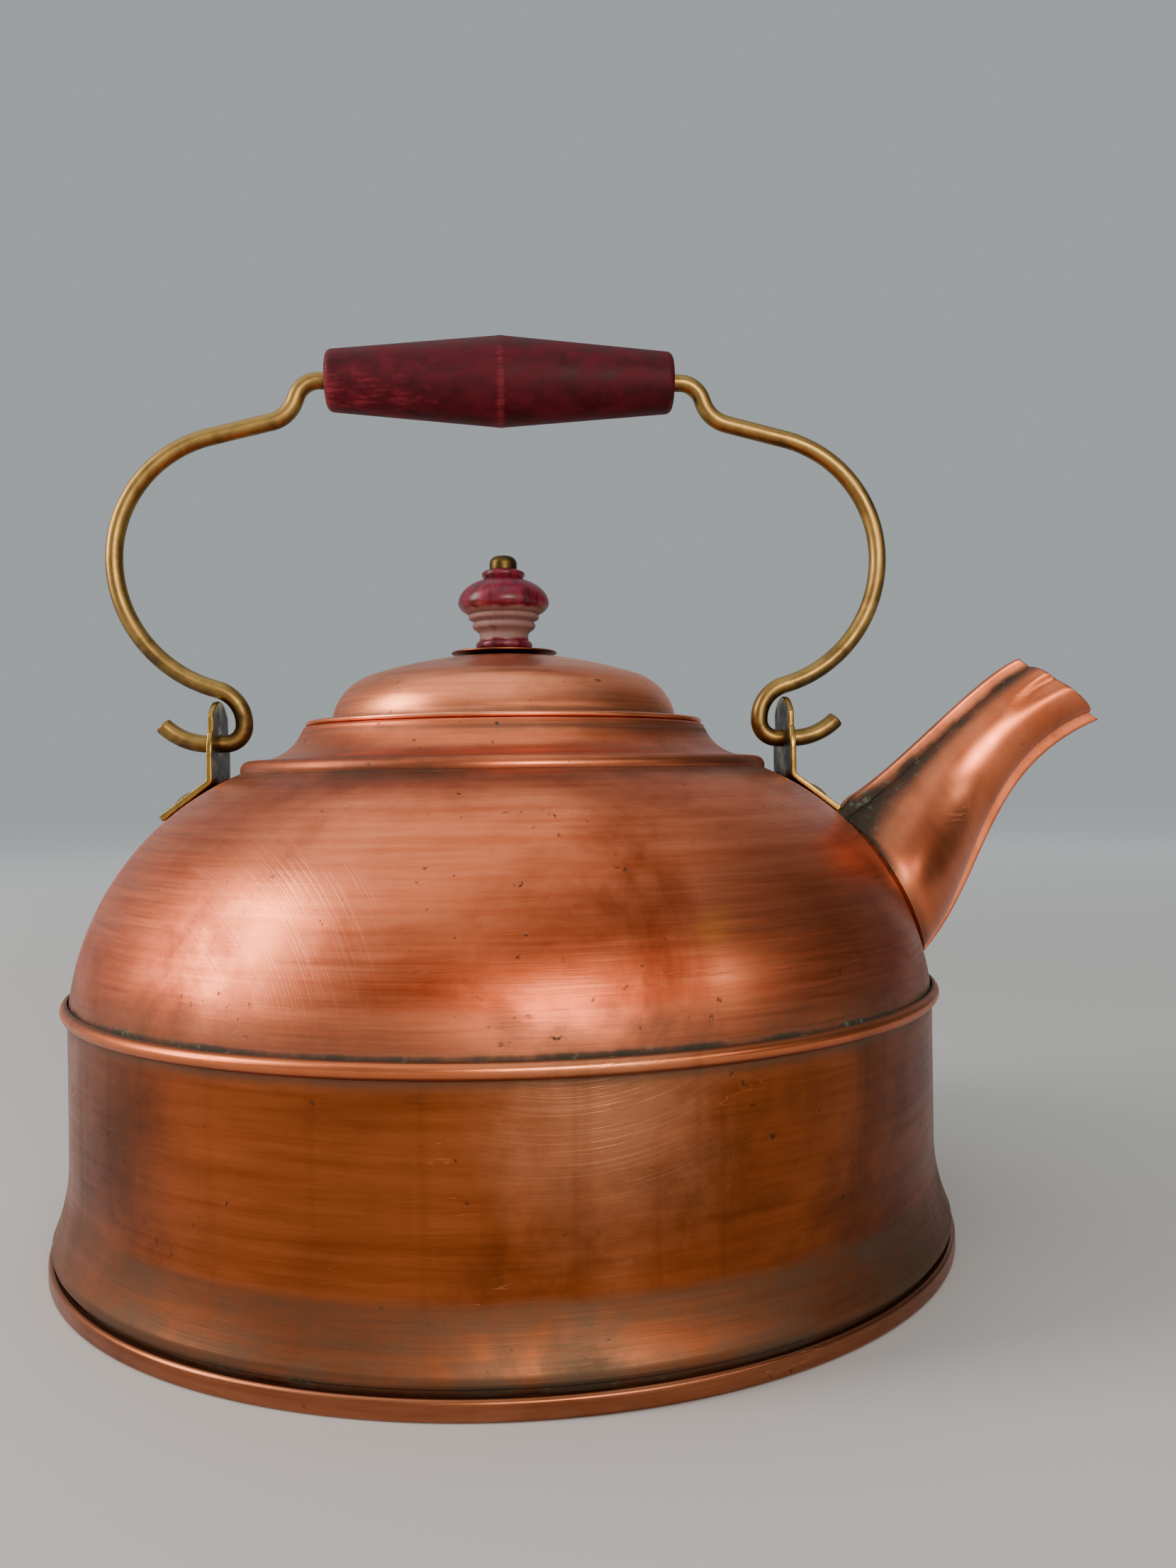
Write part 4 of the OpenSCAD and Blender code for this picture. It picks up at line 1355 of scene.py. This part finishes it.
    def grip(self) -> Sheet:
        """Revolves two shallow cones with a soft ridge and round ends, and lays them along X.

        Returns:
            The surface, in millimetres.
        """
        bore, e, l = self.wire_r + self.bore_gap, self.grip_round, self.grip_len / 2
        slope = math.degrees(math.atan2(self.grip_r - self.grip_end_r, l))
        end, r = self.grip_end_r - e, self.grip_r
        skin = run([end - 1.2, -l], arc((end, -l + e), e, -90, -slope, 12), [r - 0.16, -1.4],
                   [r - 0.03, -0.5], [r - 0.03, 0.5], [r - 0.16, 1.4],
                   arc((end, l - e), e, slope, 90, 12), [end - 1.2, l])
        loop = run([bore, -l + 0.3], [bore + 0.3, -l], skin, [bore + 0.3, l], [bore, l - 0.3])
        loop = refine(loop, 1.0)
        at = loop[:, 1]
        side = np.where(at < -8, 0.22, 0.0) * ease((-at - 8) / 14)
        worn = bell(at, 1.3) * 0.45 + side + 0.25 * bell(l - np.abs(at), 2.5)
        sheet = revolve(loop, {"worn": worn}, FEW_AROUND)
        sheet.values["worn"] += 0.18 * np.clip(sheet.points[..., 0] / r, -1, 1)
        return sheet.turned(np.array([[0, 0, 1], [0, 1, 0], [-1, 0, 0]]), (0, 0, self.grip_z))

    def build(self) -> None:
        """Makes the wire and the grip."""
        settle(make_piece("bail_wire", [self.wire()], 60.0), "bail_rod", Body.BAIL,
               WIRE_BRASS)
        settle(make_piece("wood_grip", [self.grip()], 50.0), "grip", Body.GRIP,
               GRIP_WOOD)


# ---------------------------------------------------------------- lid and knob
@dataclass
class Lid:
    """Domed lid with a hemmed flange, a collar under it and a turned knob on a screw."""

    sheet: float = 0.9
    crown_arc: float = 115.0
    corner_arc: float = 14.5
    flange: float = 1.3
    wall_in: float = 6.7
    collar_thick: float = 0.8
    screw_r: float = 2.0
    fit: float = 0.08                          # round the screw
    nut_r: float = 3.7
    nut_h: float = 3.8
    slack: float = 0.05                        # under and inside the nut

    def __post_init__(self) -> None:
        """Takes the lid's radius and heights from the frame."""
        self.r, self.z, self.crown_z = self.span("lid_dome")
        self.wall_r = self.r - self.wall_in
        self.corner = self.wall_r - self.corner_arc
        self.angle = math.degrees(math.asin(self.corner / (self.crown_arc - self.corner_arc)))
        self.bore = self.screw_r + self.fit
        self.knob_z, self.knob_top = (corner[2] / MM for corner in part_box("knob"))

    @staticmethod
    def span(node: str) -> Tuple[float, float, float]:
        """Radius, lowest and highest point of a turned CAD node, in millimetres."""
        low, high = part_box(node)
        return high[0] / MM, low[2] / MM, high[2] / MM

    def dome(self) -> Sheet:
        """Revolves the crown, its round corner, a small fillet and the flange with its hem.

        Returns:
            The surface, in millimetres.
        """
        centre_z = self.crown_z - self.crown_arc
        rise = (self.crown_arc - self.corner_arc) * math.cos(math.radians(self.angle))
        skin = run([self.bore, self.crown_z],
                   arc((0, centre_z), self.crown_arc, 90 - 2, 90 - self.angle, 34),
                   arc((self.corner, centre_z + rise), self.corner_arc, 88 - self.angle, 12, 26))
        inner = beside(skin, self.sheet)[::-1]
        top = self.z + self.flange
        flange = run(arc((self.wall_r + 0.95, top + 0.55), 0.75, 190, 262, 6),
                     [self.r - 3.2, top - 0.25], [self.r - 2.7, top - 0.05], [self.r - 2.2, top],
                     arc((self.r - 0.65, self.z + 0.65), 0.65, 90, -90, 14),
                     [self.r - 3.0, self.z], [self.wall_r - 1, self.z])
        loop = refine(run(skin, flange, inner), 1.1)
        crease = soiled(loop, ((self.wall_r + 0.6, top + 0.1), 0.9, 3.0, 0.85),
                        ((self.r - 3.0, top - 0.2), 0.4, 1.5, 0.6),
                        ((14.4, self.crown_z - 0.8), 0.7, 4.0, 0.8))
        return revolve(loop, {"crease": crease})

    def collar(self) -> Sheet:
        """Revolves the plain ring that keeps the lid in the neck.

        Returns:
            The surface, in millimetres.
        """
        r, z0, z1 = self.span("lid_collar")
        inner = r - self.collar_thick
        loop = run([inner, z0 + 0.3], [inner + 0.25, z0], [r - 0.25, z0], [r, z0 + 0.3], [r, z1],
                   [inner, z1])
        loop = refine(loop, 1.2)
        return revolve(loop, {"crease": np.full(len(loop), 0.15)})

    def washer(self) -> Sheet:
        """Revolves the thin saucer between lid and knob.

        Returns:
            The surface, in millimetres.
        """
        r, z0, z1 = self.span("knob_washer")
        loop = run([self.bore, z0], [r * 0.6, z0], [r - 0.2, z0 + 0.25],
                   arc((r - 0.26, z0 + 0.5), 0.26, -80, 80, 8), [r * 0.6, z1], [self.bore, z1])
        loop = refine(loop, 0.8)
        return revolve(loop, {"crease": 0.9 * near(loop, (7.0, z1), 2.0)}, FEW_AROUND)

    def knob(self) -> Sheet:
        """Revolves three rings, a waist and an onion-shaped bulb with a small collar on top.

        Returns:
            The surface, in millimetres.
        """
        a = np.radians(np.linspace(-35, 65, 44))
        bulb = np.stack([12.2 * np.cos(a), 13 + np.where(a < 0, 4.6, 7.2) * np.sin(a)], -1)
        loop = run([self.bore, 0], [6.4, 0], arc((6.4, 1.7), 1.2, -75, 78, 16), [6.62, 3.2],
                   [6.5, 4.1], [6.62, 4.9], [7.2, 5.5], arc((7.4, 7), 1.1, -65, 65, 14),
                   arc((8.6, 9.4), 0.9, -75, 50, 12), bulb, arc((4.9, 20.8), 0.9, -40, 75, 10),
                   [4.6, 21.9], [4.3, 22], [self.bore, 22])
        loop = refine(loop, 0.5)
        z = loop[:, 1]
        worn = (0.72 * ease((12.6 - z) / 2.4) - 0.4 * ease((3.6 - z) / 0.6)
                + 0.3 * bell(z - 21.6, 0.8))
        return revolve(loop + (0, self.knob_z), {"worn": worn}, FEW_AROUND)

    def screw(self) -> Sheet:
        """Revolves the screw: a flat head under the lid and a plain shank up through the knob.

        Returns:
            The surface, in millimetres.
        """
        _, z0, z1 = self.span("knob_screw")
        head, r = z0 + 2.35, self.screw_r
        loop = run([0, z0], [3.8, z0], [4.2, z0 + 0.4], [4.2, head], [r, head], [r, z1 - 0.3],
                   [r - 0.3, z1], [0, z1])
        return revolve(loop, {"rubbed": np.full(len(loop), 0.4)}, SMALL_AROUND)

    def nut(self) -> Sheet:
        """Revolves the domed nut, hollow over the screw's end.

        Returns:
            The surface, in millimetres.
        """
        z, r, bore = self.knob_top + self.slack, self.nut_r, self.screw_r + self.slack
        loop = run([0, z + 2.1], [bore, z + 2.1], [bore, z], [r - 0.15, z], [r, z + 0.15],
                   [r, z + 1.6], arc((r - 2.2, z + 1.6), 2.2, 12, 90, 12), [0, z + self.nut_h])
        rubbed = 0.45 + 0.3 * ease((loop[:, 1] - z) / self.nut_h)
        return revolve(loop, {"rubbed": rubbed}, SMALL_AROUND)

    def build(self) -> None:
        """Makes the lid and everything fixed to it."""
        for name, sheet, node, slot, finish in (
                ("lid_crown", self.dome(), "lid_dome", Slot.COPPER, LID_COPPER),
                ("lid_ring", self.collar(), "lid_collar", Slot.COPPER, LID_COPPER),
                ("saucer_washer", self.washer(), "knob_washer", Slot.COPPER, RIM_COPPER),
                ("turned_knob", self.knob(), "knob", Slot.PAINTED_WOOD, KNOB_WOOD),
                ("screw", self.screw(), "knob_screw", Slot.BRASS, RIVET_BRASS),
                ("domed_nut", self.nut(), "knob_nut", Slot.BRASS, NUT_BRASS)):
            settle(make_piece(name, [sheet]), node, Body.LID, finish)


# ---------------------------------------------------------------- studio
@dataclass(frozen=True)
class PaleFloor(Finish):
    """Matt painted board: pale and plain, a little paler far off so that it looks evenly lit."""

    pale: str = "b9bbba"
    paler: str = "fdfefe"
    near_m: float = 0.3
    far_m: float = 2.0
    glow: float = 0.03                         # light the far floor adds, to meet the room's grey

    def fill(self, n: Adder) -> bpy.types.NodeSocket:
        """Two greys mixed by the distance from the middle, with the faintest mottle.

        Args:
            n: Adds a node to the tree.

        Returns:
            The shader's output.
        """
        place = n("TexCoord", out="Object")
        away = n("VectorMath", (place,), out="Value", operation="LENGTH")
        mottle = n("TexNoise", {"Vector": place, "Scale": 1 / (300 * MM)})
        away = n("Math", (mottle, 0.1, away), operation="MULTIPLY_ADD")
        share = n("MapRange", (away, self.near_m, self.far_m, 0.0, 1.0), **SOFT)
        colour = n("Mix", {0: share, 6: linear(self.pale), 7: linear(self.paler)}, **COLOUR)
        glow = n("Math", (share, self.glow), **TIMES)
        return n("BsdfPrincipled", {"Base Color": colour, "Roughness": 0.7, "IOR": 1.45,
                                    "Emission Color": linear(self.paler),
                                    "Emission Strength": glow})


@dataclass(frozen=True)
class SoftBox:
    """One rectangular soft light.

    Attributes:
        name: Its name.
        at: Its place in metres.
        size: Its width and height in metres.
        power: Its power in watts.
        colour: The colour of its light.
    """

    name: str
    at: Tuple[float, float, float]
    size: Tuple[float, float]
    power: float
    colour: str = "ffffff"

    def hang(self, aim: Sequence[float]) -> None:
        """Hangs the light so that it faces a point, unseen by the camera.

        Args:
            aim: The point, in metres.
        """
        light = bpy.data.lights.new(self.name, "AREA")
        light.shape = "RECTANGLE"
        light.size, light.size_y = self.size
        light.energy = self.power
        light.color = linear(self.colour)[:3]
        lamp = bpy.data.objects.new(self.name, light)
        lamp.location = self.at
        lamp.visible_camera = False
        lamp.rotation_euler = (Vector(aim) - Vector(self.at)).to_track_quat("-Z", "Y").to_euler()
        bpy.context.scene.collection.objects.link(lamp)


LIGHTS = (
    SoftBox("window_box", at=(-1.1, -0.2, 0.6), size=(0.42, 0.8), power=14, colour="ffebe2"),
    SoftBox("front_box", at=(0.27, -1.22, 0.45), size=(0.55, 0.24), power=11, colour="ffe8d6"),
    SoftBox("top_box", at=(-0.3, -0.2, 1.5), size=(2.2, 1.8), power=10),
    SoftBox("side_box", at=(0.85, -0.75, 0.5), size=(0.14, 0.2), power=0.8, colour="fff4ea"))


@dataclass
class Studio:
    """Pale floor, a grey room, soft boxes and the camera."""

    middle: Tuple[float, float, float] = (0.0, 0.0, 0.1)    # the point that the lights face
    eye: Tuple[float, float, float] = (0.0, -0.3439, 0.1148)
    yaw: float = 0.0644                        # radians towards +X
    roll: float = -0.0131
    lens: float = 29.19
    floor_half: float = 6.0
    room_grey: str = "b4bbbe"
    room_power: float = 0.8
    dim_power: float = 0.2                     # of the room, far to the right
    dim_from: float = 0.45                     # share of a direction that points right
    dim_to: float = 0.85

    def floor(self) -> None:
        """Lays one large square under the kettle."""
        h = self.floor_half
        mesh = bpy.data.meshes.new("floor")
        mesh.from_pydata([(-h, -h, 0), (h, -h, 0), (h, h, 0), (-h, h, 0)], [], [(0, 1, 2, 3)])
        floor = bpy.data.objects.new("floor", mesh)
        bpy.context.scene.collection.objects.link(floor)
        mesh.materials.append(PaleFloor("pale_matt_board").material())

    def room(self) -> None:
        """Lights the room evenly in grey, and leaves it dim to the right of the kettle."""
        world = bpy.data.worlds.new("room")
        bpy.context.scene.world = world
        world.use_nodes = True
        world.node_tree.nodes.clear()
        n = partial(add, world.node_tree)
        way = n("SeparateXYZ", (n("TexCoord", out="Generated"),))
        power = n("MapRange", (way, self.dim_from, self.dim_to, self.room_power, self.dim_power),
                  **SOFT)
        n("OutputWorld", {"Surface": n("Background", (linear(self.room_grey), power))})

    def camera(self) -> None:
        """Stands the camera level, a little to the left of square, at the height of the neck."""
        data = bpy.data.cameras.new("camera")
        data.lens = self.lens
        data.sensor_width = 36.0
        data.clip_start = 0.01
        camera = bpy.data.objects.new("camera", data)
        ahead = Vector((math.sin(self.yaw), math.cos(self.yaw), -0.0003)).normalized()
        level = Vector((math.cos(self.yaw), -math.sin(self.yaw), 0.0))
        up = Vector((0.0, 0.0, 1.0))
        right = (level * math.cos(self.roll) + up * math.sin(self.roll)).normalized()
        over = right.cross(ahead).normalized()
        turn = Matrix((right, over, -ahead)).transposed()
        camera.matrix_world = Matrix.Translation(self.eye) @ turn.to_4x4()
        bpy.context.scene.collection.objects.link(camera)
        bpy.context.scene.camera = camera

    def build(self) -> None:
        """Sets the studio up."""
        self.floor()
        self.room()
        for light in LIGHTS:
            light.hang(self.middle)
        self.camera()


def joint_height(name: str) -> float:
    """Height, in millimetres, of a hinge's axis in the frame's record.

    Args:
        name: The joint's name.

    Returns:
        The height.
    """
    for joint in frame["joints"]:
        if joint["name"] == name:
            return joint["pos_m"][2] / MM
    raise KeyError(name)


def main() -> None:
    """Builds each sub-assembly in order, then the studio."""
    logging.basicConfig(level=logging.INFO, format="%(name)s: %(message)s")
    shell = Shell()
    shell.build()
    ears = Ears(shell, joint_height("bail_swing"))
    Spout(shell).build()
    ears.build()
    Bail(ears, joint_height("grip_spin")).build()
    Lid().build()
    Studio().build()


if __name__ == "__main__":
    main()
